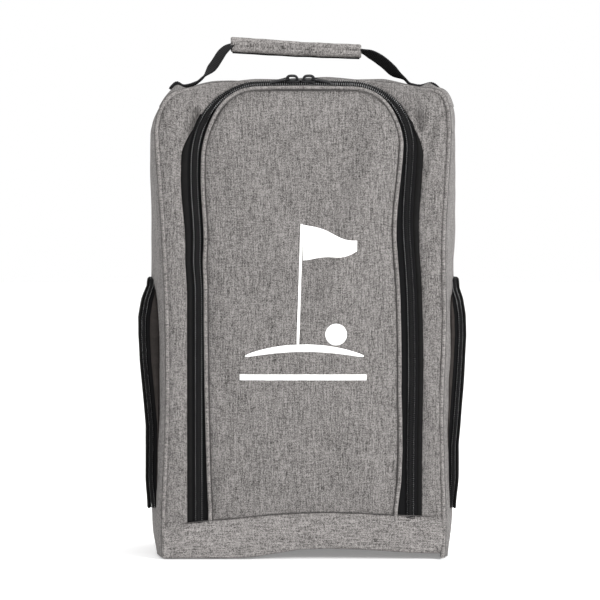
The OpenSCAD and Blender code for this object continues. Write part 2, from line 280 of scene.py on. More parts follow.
def sheet(name, outer, thick, mat, body, weave=None):
    """A closed piece of fabric: a grid of points on its face, and its thickness behind."""
    nu, nv = outer.shape[:2]
    inner = outer - outward(outer) * thick
    w = cloth_weave(outer) if weave is None else weave
    n = nu * nv
    faces = grid_faces(nu, nv, 0) + grid_faces(nu, nv, n, flip=True)
    rim = ([(i, 0) for i in range(nu)] + [(nu - 1, j) for j in range(1, nv)]
           + [(i, nv - 1) for i in range(nu - 2, -1, -1)] + [(0, j) for j in range(nv - 2, 0, -1)])
    loop = [i * nv + j for i, j in rim]
    for a, b in zip(loop, loop[1:] + loop[:1]):
        faces.append([a + n, b + n, b, a])
    verts = np.vstack([outer.reshape(-1, 3), inner.reshape(-1, 3)])
    both = np.vstack([w.reshape(-1, 2)] * 2)
    return add(name, verts, faces, mat, body, both)


def tangents(line):
    return unit(np.gradient(line, axis=0))


def tube(name, line, r, mat, body, up=(0, 1, 0.13), sides=8, flat=1.0):
    """A round or flattened cord along a line, closed at its ends."""
    line = np.asarray(line, float)
    t = tangents(line)
    side = unit(np.cross(t, np.broadcast_to(up, t.shape)))
    top = np.cross(side, t)
    a = around(sides)
    ring = (side[:, None] * np.cos(a)[None, :, None]
            + top[:, None] * np.sin(a)[None, :, None] * flat)
    p = line[:, None] + ring * r
    faces = swept_faces(len(line), sides, flip=True)
    weave = np.stack(np.meshgrid(lengths(line), a * r, indexing="ij"), -1)[..., ::-1]
    return add(name, p.reshape(-1, 3), faces, mat, body, weave)


def piece(obj, *nodes):
    """The CAD pieces that an object stands for are hidden."""
    if nodes:
        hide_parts(*nodes)
    return obj


def in_mm(data, key):
    """The vectors held by a mesh's points, in millimetres."""
    found = np.zeros(len(data) * 3)
    data.foreach_get(key, found)
    return found.reshape(-1, 3) / MM


def joined(name, objects, mat, body):
    """One object from several meshes of the same material."""
    verts, faces, weave = [], [], []
    n = 0
    for o in objects:
        m = o.data
        verts.append(in_mm(m.vertices, "co"))
        faces += [[v + n for v in f.vertices] for f in m.polygons]
        if "weave" in m.attributes:
            weave.append(in_mm(m.attributes["weave"].data, "vector")[:, :2])
        n += len(m.vertices)
    weave = np.vstack(weave) if len(weave) == len(objects) else None
    for o in objects:
        old = o.data
        bpy.data.objects.remove(o)
        bpy.data.meshes.remove(old)
    return add(name, np.vstack(verts), faces, mat, body, weave)


def settle(p, slack, push, limit):
    """Lets a grid of fabric settle as cloth: a little too large for its seams, pushed
    outward from inside and pulled down by its weight, held all round its edge."""
    small = p[::COARSE, ::COARSE]
    nu, nv = small.shape[:2]
    mesh = bpy.data.meshes.new("settling")
    mesh.from_pydata((small.reshape(-1, 3) * MM).tolist(), [], grid_faces(nu, nv))
    mesh.update()
    obj = bpy.data.objects.new("settling", mesh)
    bpy.context.scene.collection.objects.link(obj)
    group = obj.vertex_groups.new(name="seam")
    index = np.arange(nu * nv).reshape(nu, nv)
    held = np.concatenate([index[0], index[-1], index[:, 0], index[:, -1]])
    group.add([int(v) for v in held], 1.0, "REPLACE")
    cloth = obj.modifiers.new("cloth", "CLOTH")
    c = cloth.settings
    c.vertex_group_mass = "seam"
    for key, value in CLOTH.items():
        setattr(c, key, value)
    c.shrink_min = -slack
    c.use_pressure = True
    c.uniform_pressure_force = push
    cloth.point_cache.frame_start, cloth.point_cache.frame_end = 1, SETTLE_FRAMES
    scene = bpy.context.scene
    for f in range(1, SETTLE_FRAMES + 1):
        scene.frame_set(f)
    done = obj.evaluated_get(bpy.context.evaluated_depsgraph_get()).to_mesh()
    moved = in_mm(done.vertices, "co").reshape(nu, nv, 3) - small
    bpy.data.objects.remove(obj)
    bpy.data.meshes.remove(mesh)
    scene.frame_set(1)
    size = np.linalg.norm(moved, axis=-1, keepdims=True)
    moved = moved * np.minimum(1, limit / np.maximum(size, 1e-9))
    rows, cols = np.arange(0, p.shape[0], COARSE), np.arange(0, p.shape[1], COARSE)
    wide = np.stack([[np.interp(np.arange(p.shape[1]), cols, moved[i, :, k]) for i in range(nu)]
                     for k in range(3)], -1)
    full = np.stack([np.stack([np.interp(np.arange(p.shape[0]), rows, wide[:, j, k])
                               for j in range(p.shape[1])], 1) for k in range(3)], -1)
    for axis in (0, 1):
        inner = (full + np.roll(full, 1, axis) + np.roll(full, -1, axis)) / 3
        keep = [slice(None)] * 3
        keep[axis] = slice(1, -1)
        full[tuple(keep)] = inner[tuple(keep)]
    return p + full


# ---------------------------------------------------------------- materials
def material(name, color, rough, metal=0.0, sheen=0.0, specular=0.5):
    m = bpy.data.materials.new(name)
    m.use_nodes = True
    shader = m.node_tree.nodes["Principled BSDF"]
    shader.inputs["Base Color"].default_value = (*color, 1)
    shader.inputs["Roughness"].default_value = rough
    shader.inputs["Metallic"].default_value = metal
    shader.inputs["Sheen Weight"].default_value = sheen
    shader.inputs["Specular IOR Level"].default_value = specular
    return m, m.node_tree, shader


def node(tree, kind, **values):
    n = tree.nodes.new(kind)
    for key, value in values.items():
        if key in n.inputs:
            n.inputs[key].default_value = value
        else:
            setattr(n, key, value)
    return n


def place(tree, scale, source="weave"):
    """Coordinates in millimetres times scale, along the weave or through the object."""
    if source == "weave":
        start = node(tree, "ShaderNodeAttribute", attribute_name="weave").outputs["Vector"]
    else:
        start = node(tree, "ShaderNodeTexCoord").outputs["Object"]
    m = node(tree, "ShaderNodeMapping")
    m.inputs["Scale"].default_value = [s / MM for s in scale]
    tree.links.new(start, m.inputs["Vector"])
    return m.outputs["Vector"]


def grain(tree, scale, detail, source="weave", rough=0.5):
    n = node(tree, "ShaderNodeTexNoise", Scale=1.0, Detail=detail, Roughness=rough)
    tree.links.new(place(tree, scale, source), n.inputs["Vector"])
    return n.outputs["Fac"]


def math_node(tree, kind, a, b):
    n = node(tree, "ShaderNodeMath", operation=kind)
    for i, v in enumerate((a, b)):
        if isinstance(v, (int, float)):
            n.inputs[i].default_value = v
        else:
            tree.links.new(v, n.inputs[i])
    return n.outputs[0]


def ramp(tree, fac, stops):
    n = node(tree, "ShaderNodeValToRGB")
    while len(n.color_ramp.elements) < len(stops):
        n.color_ramp.elements.new(0.5)
    for e, (at, color) in zip(n.color_ramp.elements, stops):
        e.position = at
        e.color = (*color, 1)
    tree.links.new(fac, n.inputs["Fac"])
    return n.outputs["Color"]


def weighted(tree, *parts):
    """A weighted sum of values."""
    total = None
    for value, share in parts:
        scaled = math_node(tree, "MULTIPLY", value, share)
        total = scaled if total is None else math_node(tree, "ADD", total, scaled)
    return total


def tinted(color, k):
    return [c * k for c in color]


def toned(tree, shader, fac, color, *stops):
    """The base colour runs between darker and lighter tones of one colour."""
    shade = ramp(tree, fac, [(at, tinted(color, k)) for at, k in stops])
    tree.links.new(shade, shader.inputs["Base Color"])


def bumpy(tree, shader, height, strength, distance):
    n = node(tree, "ShaderNodeBump", Strength=strength, Distance=distance * MM)
    tree.links.new(height, n.inputs["Height"])
    tree.links.new(n.outputs["Normal"], shader.inputs["Normal"])


def split(tree, vector):
    n = node(tree, "ShaderNodeSeparateXYZ")
    tree.links.new(vector, n.inputs[0])
    return n.outputs[0], n.outputs[1]


def yarns(tree, across, along, pitch, slub):
    """Each yarn has its own tone, which drifts along it: about one slub per that many mm."""
    index = math_node(tree, "FLOOR", math_node(tree, "MULTIPLY", across, 1 / pitch), 0.0)
    start = node(tree, "ShaderNodeTexWhiteNoise", noise_dimensions="1D")
    tree.links.new(index, start.inputs["W"])
    shift = math_node(tree, "MULTIPLY", start.outputs["Value"], 90.0)
    spot = node(tree, "ShaderNodeCombineXYZ")
    tree.links.new(math_node(tree, "MULTIPLY", index, 7.31), spot.inputs[0])
    tree.links.new(math_node(tree, "ADD", math_node(tree, "MULTIPLY", along, 1 / slub), shift),
                   spot.inputs[1])
    tone = node(tree, "ShaderNodeTexNoise", Scale=1.0, Detail=1.0, Roughness=0.4)
    tree.links.new(spot.outputs[0], tone.inputs["Vector"])
    return tone.outputs["Fac"], index


def heather(name, dark, light, upright=True):
    """Two tone yarns, woven: each warp and weft yarn drifts between dark and light. The
    warp, which shows more, stands upright or lies along the piece."""
    m, tree, shader = material(name, light, 0.92, sheen=0.05, specular=0.2)
    u, v = split(tree, place(tree, (1, 1, 1)))
    if not upright:
        u, v = v, u
    warp, i = yarns(tree, u, v, 0.56, 11.0)
    weft, j = yarns(tree, v, u, 0.60, 8.0)
    cell = node(tree, "ShaderNodeTexWhiteNoise", noise_dimensions="2D")
    spot = node(tree, "ShaderNodeCombineXYZ")
    tree.links.new(i, spot.inputs[0])
    tree.links.new(j, spot.inputs[1])
    tree.links.new(spot.outputs[0], cell.inputs["Vector"])
    cloud = grain(tree, (0.035, 0.02, 1), 3)
    total = weighted(tree, (cloud, 0.08), (warp, 0.42), (weft, 0.23), (cell.outputs["Value"], 0.27))
    middle = mixed(dark, light, 0.5)
    color = ramp(tree, total, [(0.32, dark), (0.5, middle), (0.68, light)])
    tree.links.new(color, shader.inputs["Base Color"])
    threads = grain(tree, (1.6, 1.6, 1), 3, rough=0.6)
    height = math_node(tree, "ADD", threads, math_node(tree, "MULTIPLY", total, 0.8))
    bumpy(tree, shader, height, 0.5, 0.25)
    return m


def woven(name, color, rough, pitch, source="weave", strength=0.5):
    """A plain fine weave of one colour, with a little unevenness."""
    m, tree, shader = material(name, color, rough, specular=0.1)
    uneven = grain(tree, (0.12, 0.12, 0.12), 3, source)
    threads = grain(tree, (1 / pitch, 1 / pitch, 1 / pitch), 3, source, 0.6)
    both = weighted(tree, (uneven, 0.5), (threads, 0.5))
    toned(tree, shader, both, color, (0.3, 0.6), (0.7, 1.5))
    bumpy(tree, shader, threads, strength, 0.15)
    return m


def ribbed(name, color, pitch):
    """Webbing or tape with ribs across its length, which lies along the weave's u."""
    m, tree, shader = material(name, color, 0.85, specular=0.08)
    wave = node(tree, "ShaderNodeTexWave", wave_type="BANDS", bands_direction="X",
                Scale=1.0, Distortion=0.6, Detail=2.0)
    tree.links.new(place(tree, (0.314 / pitch, 0.314 / pitch, 1)), wave.inputs["Vector"])
    threads = grain(tree, (2.0, 2.0, 1), 3)
    both = weighted(tree, (wave.outputs["Fac"], 0.7), (threads, 0.3))
    toned(tree, shader, both, color, (0.15, 0.5), (0.85, 2.4))
    bumpy(tree, shader, both, 0.7, 0.3)
    return m


def moulded(name, color, rough, scale, metal=0.0, strength=0.15):
    """Painted metal or moulded nylon, with faint mottling and wear."""
    m, tree, shader = material(name, color, rough, metal, specular=0.2)
    spots = grain(tree, (scale, scale, scale), 4, "object", 0.6)
    toned(tree, shader, spots, color, (0.3, 0.75), (0.75, 1.6))
    gloss = node(tree, "ShaderNodeMapRange")
    gloss.inputs["To Min"].default_value = rough * 0.8
    gloss.inputs["To Max"].default_value = rough * 1.25
    tree.links.new(spots, gloss.inputs["Value"])
    tree.links.new(gloss.outputs["Result"], shader.inputs["Roughness"])
    bumpy(tree, shader, spots, strength, 0.05)
    return m


def mesh_fabric(name, color):
    """Spacer mesh: small open cells over a darker ground."""
    m, tree, shader = material(name, color, 0.8, specular=0.15)
    cells = node(tree, "ShaderNodeTexVoronoi", Scale=1.0, Randomness=0.15,
                 feature="DISTANCE_TO_EDGE")
    tree.links.new(place(tree, (0.42, 0.36, 1)), cells.inputs["Vector"])
    toned(tree, shader, cells.outputs["Distance"], color, (0.05, 2.2), (0.28, 0.35))
    flat = math_node(tree, "SUBTRACT", 1.0, cells.outputs["Distance"])
    bumpy(tree, shader, flat, 0.9, 0.9)
    return m


GREY_DARK, GREY_LIGHT = (0.034, 0.0316, 0.030), (0.236, 0.223, 0.217)
MAT = {
    "heather": heather("heather_fabric", GREY_DARK, GREY_LIGHT),
    # The base band's heather is tinted lighter than the rest: painted light, standing in for the
    # brighter light that falls on the band.
    "band": heather("band_fabric_painted_light", tinted(GREY_DARK, 1.25), tinted(GREY_LIGHT, 1.25), False),
    "grip": heather("grip_fabric", tinted(GREY_DARK, 1.4), tinted(GREY_LIGHT, 1.38), False),
    "piping": heather("piping_fabric", tinted(GREY_DARK, 1.25), tinted(GREY_LIGHT, 1.15), False),
    "black": woven("black_fabric", (0.0045, 0.0044, 0.0044), 0.75, 0.5, strength=0.25),
    "pocket_fabric": woven("pocket_fabric", (0.026, 0.0225, 0.021), 0.8, 0.6, strength=0.3),
    "tape": ribbed("zip_tape", (0.0045, 0.0045, 0.0048), 0.5),
    "coil": moulded("zip_coil", (0.007, 0.007, 0.0075), 0.55, 1.5),
    # The coil's stitching thread is pale grey so that the top of each stitch shows as a bright dot:
    # painted glints.
    "thread": woven("thread", (0.5, 0.5, 0.505), 0.6, 0.4, "object"),
    "metal": moulded("black_metal", (0.009, 0.009, 0.010), 0.42, 0.6, metal=0.15),
    "webbing": ribbed("webbing", (0.010, 0.010, 0.0105), 1.3),
    "mesh": mesh_fabric("pocket_mesh", (0.015, 0.014, 0.0137)),
    # The seam thread is dark: partly the thread's own colour, partly painted shade for the grooves
    # beside the welts and the flap's piping where it lies.
    "seam": woven("seam_thread_and_groove_shade", (0.075, 0.07, 0.068), 0.8, 0.4, "object"),
    "lining": woven("lining", (0.055, 0.055, 0.058), 0.5, 0.45, strength=0.2),
    "foam": woven("foam", (0.7, 0.7, 0.68), 0.9, 0.7, "object", 0.8),
    "board": moulded("board", (0.05, 0.05, 0.05), 0.55, 1.0, strength=0.5),
    "print": woven("print", (0.86, 0.86, 0.85), 0.55, 0.6, strength=0.25),
}


# ---------------------------------------------------------------- the zip's path
def wander(side, z):
    """How far the side runs of the zip stray from straight."""
    if side > 0:
        return -3.2 * bump(z, 258, 38) + 1.0 * bump(z, 145, 45)
    return 0.9 * bump(z, 290, 24) - 1.3 * bump(z, 243, 24) - 2.3 * smooth((232 - z) / 30)


def zip_half(side):
    """Points, directions across and directions out, from the middle of the top to the base."""
    step = 1.5
    a = np.radians(np.linspace(0, 90, 42))
    turn = smooth((np.degrees(a) - 10) / 70)
    top_x = ZIP_TOP_X + 1.5 * side
    reach, drop = ZIP_X - top_x, ZIP_CORNER_H - 3.5 * side
    corner_z = ZIP_TOP_Z - drop
    zeros, ones = np.zeros_like(a), np.ones_like(a)
    square = 0.98
    p = np.stack([top_x + reach * np.sin(a) ** square, mixed(ZIP_TOP_Y, FRONT_Y, turn),
                  corner_z + drop * np.cos(a).clip(0) ** square], 1)
    edge = unit(np.stack([drop * np.sin(a), zeros, reach * np.cos(a)], 1))
    lean = math.radians(TOP_LEAN)
    back = np.stack([zeros, ones * math.cos(lean), ones * math.sin(lean)], 1)
    across = unit(mixed(back, edge, turn))
    xs = np.arange(0, ZIP_TOP_X - step / 2, step)
    top = np.stack([xs, np.full_like(xs, ZIP_TOP_Y), np.full_like(xs, ZIP_TOP_Z)], 1)
    zs = np.arange(corner_z - step, BAND_TOP - 2, -step)
    low = np.stack([np.full_like(zs, ZIP_X), np.full_like(zs, FRONT_Y), zs], 1)
    p = np.vstack([top, p, low])
    across = np.vstack([np.tile(back[0], (len(top), 1)), across,
                        np.tile([1.0, 0, 0], (len(low), 1))])
    p[:, 0] += wander(side, p[:, 2]) * np.clip(across[:, 0], 0, 1)
    p[:, 2] += 1.1 * np.cos(np.clip(p[:, 0] / ZIP_TOP_X, -1.6, 1.6)) * (1 - across[:, 0])
    out = unit(np.cross(unit(np.gradient(p, axis=0)), across))
    if side < 0:
        p, across, out = mirror_x(p), mirror_x(across), mirror_x(out)
    return p, across, out


ZIP_P, ZIP_L, ZIP_N = (np.vstack([a[:0:-1], b]) for a, b in zip(zip_half(-1), zip_half(1)))
ZIP_S = lengths(ZIP_P)


def zip_at(s):
    return (resampled(ZIP_P, ZIP_S, s), unit(resampled(ZIP_L, ZIP_S, s)),
            unit(resampled(ZIP_N, ZIP_S, s)))


def piping_inset(at):
    """How far inside the zip's middle the flap's piping runs: more near the base."""
    x, z = ZIP_P[:, 0], ZIP_P[:, 2]
    left = np.interp(z, [38, 60, 83, 129, 174, 205, 240], [2.3, 1.3, 0.6, -0.5, -1.0, -1.1, 0])
    right = np.interp(z, [38, 60, 83, 106, 129, 197, 243, 265, 288, 318],
                      [4.6, 1.9, 1.2, 1.7, 2.8, 2.7, 3.0, 2.0, 1.0, 0])
    return PIPING_AT + np.interp(at, ZIP_S, np.where(x < 0, left, right))


def folded(points, l, across):
    """Along the top, the zip's tape folds down over the flap's edge."""
    inside = np.clip(-2.0 - across, 0, None) * 0.55
    points[..., 2] -= inside * np.clip(1 - np.abs(l[..., 0]), 0, 1)
    return points


def zip_line(across, out):
    p, l, n = zip_at(ZIP_S)
    across = np.broadcast_to(across, ZIP_S.shape)
    return folded(p + l * across[:, None] + n * out, l, across)


# ---------------------------------------------------------------- the bag's surfaces
def outline(side):
    """The front seam, the widest line and the back seam, from the base up to the middle."""
    x, top = SEAM_X, BODY_TOP
    left = 1.0 if side < 0 else 0.0
    right = 1 - left
    front = [(x + 0.5 - 0.5 * left, FRONT_Y, 1.4), (x + 1.5 - left, FRONT_Y, 30),
             (x - 0.5 - 2 * left, FRONT_Y, 110), (x + 1.5 - 4 * left, FRONT_Y, 180),
             (x + 1 - left, FRONT_Y, 245), (x + 4.6, FRONT_Y, 312), (x + 4.8, FRONT_Y + 0.4, 330),
             (x + 0.3 + 3 * right, FRONT_Y + 1.2, top - 17),
             (x - 8 + 5.5 * right, FRONT_Y + 3, top - 8.5 + right),
             (x - 22 + 4 * right, FRONT_Y + 8, top - 4.6), (x - 36, -SEAM_Y + 11.5, top - 1.6),
             (x - 56, -SEAM_Y + 15.6, top - 0.2), (x - 80, -SEAM_Y + 16.6, top + 0.4),
             (0, -SEAM_Y + 16.8, top + 0.6)]
    middle = [(x + 6.0 + 2.5 * left, 0.4), (x + 9.8 + 2 * left, 30), (x + 10.4 + left, 90),
              (x + 11.2, 160), (x + 12, 245), (x + 12, 312), (x + 9.6 + 2 * right, 331),
              (x + 3.6 + 6 * right, top - 15.5), (x - 4.0 + 7.0 * right, top - 4.0 + right),
              (x - 15 + 3 * right, top - 1.0), (x - 33, top + 2.4), (x - 55, top + 4.4),
              (x - 80, top + 4.8), (0, top + 4.9)]
    back = [(x - 0.5, 1.4), (x, 30), (x, 90), (x, 160), (x, 245), (x, 312), (x, 328),
            (x - 3, top - 18), (x - 10, top - 7), (x - 22, top - 2.6), (x - 38, top - 1.2),
            (x - 58, top - 0.8), (x - 80, top - 0.6), (0, top - 0.5)]
    return front, middle, back


LOOP_N = 300


def loop_lines(side):
    """The three lines with matched points: the stations are spread by the front seam."""
    front, middle, back = outline(side)
    key = np.linspace(0, 1, len(front))
    seam = np.array(front)
    s = lengths(seam) / lengths(seam)[-1]
    dense = np.interp(np.linspace(0, 1, LOOP_N), s, key)
    lines = [smooth_through(np.array(points, float), key, dense)
             for points in (front, [(a, 0, b) for a, b in middle],
                            [(a, SEAM_Y + 1.6, b) for a, b in back])]
    return [mirror_x(l) if side < 0 else l for l in lines]


def smooth_through(p, key, at):
    """Catmull-Rom through points p at evenly spaced keys."""
    p = np.vstack([2 * p[0] - p[1], p, 2 * p[-1] - p[-2]])
    u = np.clip(at * (len(key) - 1), 0, len(key) - 1 - 1e-9)
    i = u.astype(int)
    t = (u - i)[:, None]
    a, b, c, d = p[i], p[i + 1], p[i + 2], p[i + 3]
    return 0.5 * (2 * b + (c - a) * t + (2 * a - 5 * b + 4 * c - d) * t ** 2
                  + (3 * b - a - 3 * c + d) * t ** 3)


LOOP = {side: loop_lines(k) for side, k in SIDES.items()}


def shoulder_index(side):
    """Where the side panel ends and the top panel begins."""
    return int(np.argmax(LOOP[side][1][:, 2] > BODY_TOP - 17))


def gusset_points(side, first, last, inset=0.0):
    """The bulging side and top fabric between the front and back seams."""
    front, middle, back = (l[first:last] for l in LOOP[side])
    t = np.linspace(0, 1, 60)
    lift = middle - (front + back) / 2
    lift[:, 1] = 0
    swell = np.sin(math.pi * t) ** 0.7
    p = between(front, back, t) + lift[:, None] * swell[None, :, None]
    pinned = np.clip(np.minimum(t, 1 - t) * 9, 0, 1)[None, :]
    normal = outward(p)
    big = ripple(p * [1, 0.8, 0.45], 38, 3 if side == "left" else 4)
    small = ripple(p * [1, 1, 0.5], 13, 5)
    slant = p + 0.55 * p[..., [1, 2, 0]] * [0, 1, 0]
    drag = ripple(slant * [1, 1.6, 0.42], 27, 6)
    near_top = 0.6 + 0.9 * bump(p[..., 2], BODY_TOP - 30, 42)
    lift = 1.0 * big + 0.3 * small + 0.9 * drag * near_top
    p = p + normal * (lift * pinned)[..., None]
    return p - normal * inset


def strap_ear(p):
    """The top fabric is pulled up into a low ear where each end of the handle is sewn, dips
    beside it, and sinks a little where the grip lies when it is folded over."""
    x, y = np.abs(p[..., 0]), p[..., 1]
    ear = 3.6 * bump(x, SEAM_X - 8.5, 4.6) * bump(y, 0, 17)
    dip = -1.6 * bump(x, SEAM_X - 17.5, 6) * bump(y, 0, 24)
    rest = -2.7 * bump(np.abs(y), 27, 10) * bump(x, 0, 62)
    p = p.copy()
    p[..., 2] += ear + (dip + rest)
    return p


# ---------------------------------------------------------------- sides, top and surround
def build_shell():
    """The sides with their linings, which hang clear of the pockets, then the top."""
    halves = []
    for side, k in SIDES.items():
        shoulder = shoulder_index(side)
        tucked = 0.7 * smooth(np.linspace(-(shoulder - 8) / 10, 1, shoulder + 2))
        p = gusset_points(side, 0, shoulder + 2, inset=tucked[:, None, None])
        w = cloth_weave(p)[..., ::-1]
        piece(sheet("side_fabric_" + side, p, FABRIC, "heather", "bag", w), "side_panel_" + side)
        p = gusset_points(side, 3, shoulder, inset=5.4)
        slack = ridge(np.linspace(0, 1, p.shape[1]), 3.0)[None, :] * smooth((300 - p[..., 2]) / 60)
        p[..., 0] -= k * slack
        piece(sheet("side_lining_cloth_" + side, p, LINING, "lining", "bag"), "side_lining_" + side)
        p = strap_ear(gusset_points(side, shoulder - 1, LOOP_N))
        halves.append(p if side == "left" else p[::-1])
    top = np.vstack([halves[0], halves[1][1:]])
    piece(sheet("top_fabric", top, FABRIC, "heather", "bag", cloth_weave(top)), "top_panel")
    under = top[8:-8, 2:-2]
    under = under - outward(under) * 2.8
    piece(sheet("top_lining_cloth", under, LINING, "lining", "bag"), "top_lining")


def seam_line(which=0):
    """The front seam (0) or the back seam (2), from the left foot over to the right."""
    return np.vstack([LOOP["left"][which][:-1], LOOP["right"][which][::-1]])


def matched_seam():
    """Points on the front seam opposite evenly spaced points on the zip."""
    zip_s = np.linspace(0, ZIP_S[-1], 420)
    line = seam_line()
    s = lengths(line)
    half = len(ZIP_P) // 2
    corner = np.interp(ZIP_TOP_Z - ZIP_CORNER_H, ZIP_P[:half, 2], ZIP_S[:half])
    flat = ZIP_S[-1] / 2 - ZIP_TOP_X
    seam_corner = s[np.argmax(line[:, 2] > ZIP_TOP_Z - ZIP_CORNER_H + 8)]
    seam_flat = s[-1] / 2 - ZIP_TOP_X - 16
    keys = [0, corner, (corner + flat) / 2, flat, ZIP_S[-1] / 2]
    found = [0, seam_corner, (seam_corner + seam_flat) / 2 + 3, seam_flat, s[-1] / 2]
    keys += [ZIP_S[-1] - k for k in keys[-2::-1]]
    found += [s[-1] - k for k in found[-2::-1]]
    return zip_s, resampled(line, s, np.interp(zip_s, keys, found))


def ridge(t, height):
    """A rounded ridge across a strip: 0 at both edges."""
    return height * np.sin(math.pi * np.clip(t, 0, 1)) ** 0.75


def strip_edge(z):
    """How far from the zip's middle the black strip ends: it runs out over the corners."""
    return TAPE_W - 1.6 + (STRIP_W + 1.4 - 1.4 * smooth((285 - z) / 60)) * smooth((333 - z) / 28)


def build_surround():
    zip_s, seam = matched_seam()
    p, across, out = zip_at(zip_s)
    edge = strip_edge(p[:, 2])[:, None]
    inner = p + across * (edge - 0.3) - out * (1.3 - 1.0 * smooth((p[:, 2:] - 330) / 20))
    t = np.linspace(0, 1, 18)
    grid = between(inner, seam, t)
    width = np.linalg.norm(seam - inner, axis=1)
    puff = np.minimum(width * 0.13, 2.6)
    away = unit(out + [0, -0.15, 0])
    grid = grid + away[:, None] * (ridge(t, 1.0)[None, :] * puff[:, None])[..., None]
    wr = ripple(grid * [1, 1, 0.35], 15, 7) * 0.5 + ripple(grid * [1, 1, 0.6], 34, 8) * 0.9
    dimple = creases(grid, [(-80, 340, -87, 324, 4.5, 7), (88, 338, 86, 324, 4.2, 6)])
    dimple = dimple * (smooth(t * 5) * smooth((1 - t) * 2.5))[None, :]
    wr = wr - creases(grid, [(-99, 330, -89, 300, 4.5, 2.4), (-103, 345, -95, 300, 5, -2.4),
                             (100, 338, 92, 306, 4.5, 2.4), (95, 345, 88, 330, 4, -2.0),
                             (-98, 232, -92, 214, 4, 1.2), (97, 268, 92, 250, 4, 1.0)])
    free = np.sin(math.pi * t)[None, :] * np.clip(width / 14, 0.1, 1)[:, None]
    grid = grid + away[:, None] * (wr * free - dimple)[..., None]
    w = np.stack([grid[..., 0], grid[..., 2] + grid[..., 1]], -1)
    piece(sheet("front_surround_fabric", grid, 0.9, "heather", "bag", w), "front_surround")

    t = np.linspace(0, 1, 9)
    near = np.minimum(TAPE_W - 0.8, edge - 1.2)
    l = near + t[None, :] * (edge + 0.6 - near)
    grid = (p[:, None] + across[:, None] * l[..., None]
            + out[:, None] * (-1.4 + ridge(t, 1.5))[None, :, None])
    w = np.stack([l, np.repeat(zip_s[:, None], len(t), 1)], -1)
    piece(sheet("zip_garage_strip", grid, 0.7, "black", "bag", w), "zip_strip")


# ---------------------------------------------------------------- zips
def strip_along(name, p, across, out, near, far, height, body):
    """Zip tape beside the chain, from near to far across it."""
    t = np.linspace(0, 1, 5)[None, :]
    l = near + (np.broadcast_to(far, len(p))[:, None] - near) * t
    grid = folded(p[:, None] + across[:, None] * l[..., None] + out[:, None] * height,
                  across[:, None], l)
    w = np.stack([np.broadcast_to(lengths(p)[:, None], l.shape), l], -1)
    return sheet(name, grid, 0.4, "tape", body, w)


def coil(name, p, across, out, side, body, wire, reach, rise):
    """One half of a coil zip: a real helix of nylon wire, sewn down along its edge."""
    s = lengths(p)
    turns = s[-1] / TOOTH
    n = int(turns * 10)
    phase = np.linspace(0, turns * 2 * math.pi, n) + (math.pi if side > 0 else 0)
    at = np.linspace(0, s[-1], n)
    c, l, o = (resampled(a, s, at) for a in (p, across, out))
    l, o = unit(l), unit(o)
    line = (c + l * (side * (reach - 0.55 - reach * np.cos(phase)))[:, None]
            + o * (rise * np.sin(phase))[:, None])
    return tube(name, line, wire, "coil", body, up=(0.3, 0.5, 0.81), sides=5)


def stitch(name, line, out, pitch, r, body, mat="seam", rise=0.35, duty=0.6):
    """A row of thread that dips into the fabric between its stitches."""
    s = lengths(line)
    n = int(s[-1] / pitch * 8)
    at = np.linspace(0, s[-1], n)
    c, o = resampled(line, s, at), unit(resampled(out, s, at))
    wave = np.abs(np.sin(math.pi * at / pitch)) ** duty
    return tube(name, c + o * (rise * (wave - 0.55))[:, None], r, mat, body,
                up=(0.31, 0.5, 0.8), sides=5)


def build_zip():
    at = np.linspace(0, ZIP_S[-1], int(ZIP_S[-1] / 1.5))
    p, across, out = zip_at(at)
    for side, name, body, far in ((1, "outer", "bag", TAPE_W),
                                  (-1, "inner", "flap fold", 0.8 - piping_inset(at))):
        piece(strip_along("zip_tape_woven_" + name, p, across, out, side, far, -0.7, body),
              "zip_tape_" + name)
        piece(coil("zip_coil_wire_" + name, p, across, out, side, body, 0.36, 1.85, 0.8),
              "zip_coil_" + name)
        # pale thread whose stitch tops show as painted glints along the chain
        piece(stitch("zip_coil_thread_" + name, p + across * side * 2.35, out, TOOTH, 0.25, body,
                     "thread", 3.0, 16))


# ---------------------------------------------------------------- the opening flap
EDGE = zip_line(-piping_inset(ZIP_S), 0)
HALF = len(EDGE) // 2


def seam_arch(x):
    """The seam over the base band rises to its middle, and a little less to its right end."""
    at = [-110, -92, -75, -56, -38, -18, 0, 20, 40, 58, 75, 92, 110]
    rise = [-4.2, -2.9, -0.8, 1.1, 3.1, 5.0, 5.9, 6.2, 5.8, 4.7, 3.5, 2.9, 2.7]
    return HINGE_Z + np.interp(x, at, rise)


def flap_grid(nx, nz, inset):
    """x and z of a grid over the flap."""
    left, right = EDGE[: HALF + 1], EDGE[HALF:]
    corner = ZIP_TOP_Z - ZIP_CORNER_H
    top = EDGE[HALF][2] - inset
    low = np.linspace(0, 1, int(nz * 0.8), endpoint=False)
    arc = np.radians(np.linspace(90, 4, nz - len(low)))
    key = np.concatenate([low * corner, corner + (top - corner) * np.cos(arc) / math.cos(arc[-1])])
    edges = []
    for edge, side in ((left, -80), (right[::-1], 80)):
        foot = seam_arch(side)
        z = np.where(key < corner, foot + (corner - foot) * key / corner, key)
        edges.append(np.interp(z, edge[:, 2], edge[:, 0]))
    x_left, x_right = edges[0] + inset, edges[1] - inset
    f = np.linspace(0, 1, nx)
    x = x_left[:, None] * (1 - f) + x_right[:, None] * f
    rise = key[:, None] / corner
    floor_z = seam_arch(x) + max(inset - 1.1, 0.4)
    z = np.where(rise < 1, floor_z + (corner - floor_z) * rise, key[:, None])
    return x, z


def edge_distance(x, z):
    flat = np.stack([x.ravel(), z.ravel()], 1)
    line = EDGE[::2][:, [0, 2]]
    out = np.empty(len(flat))
    for i in range(0, len(flat), 4000):
        block = flat[i: i + 4000]
        out[i: i + 4000] = np.sqrt(((block[:, None] - line[None]) ** 2).sum(2)).min(1)
    return out.reshape(x.shape)


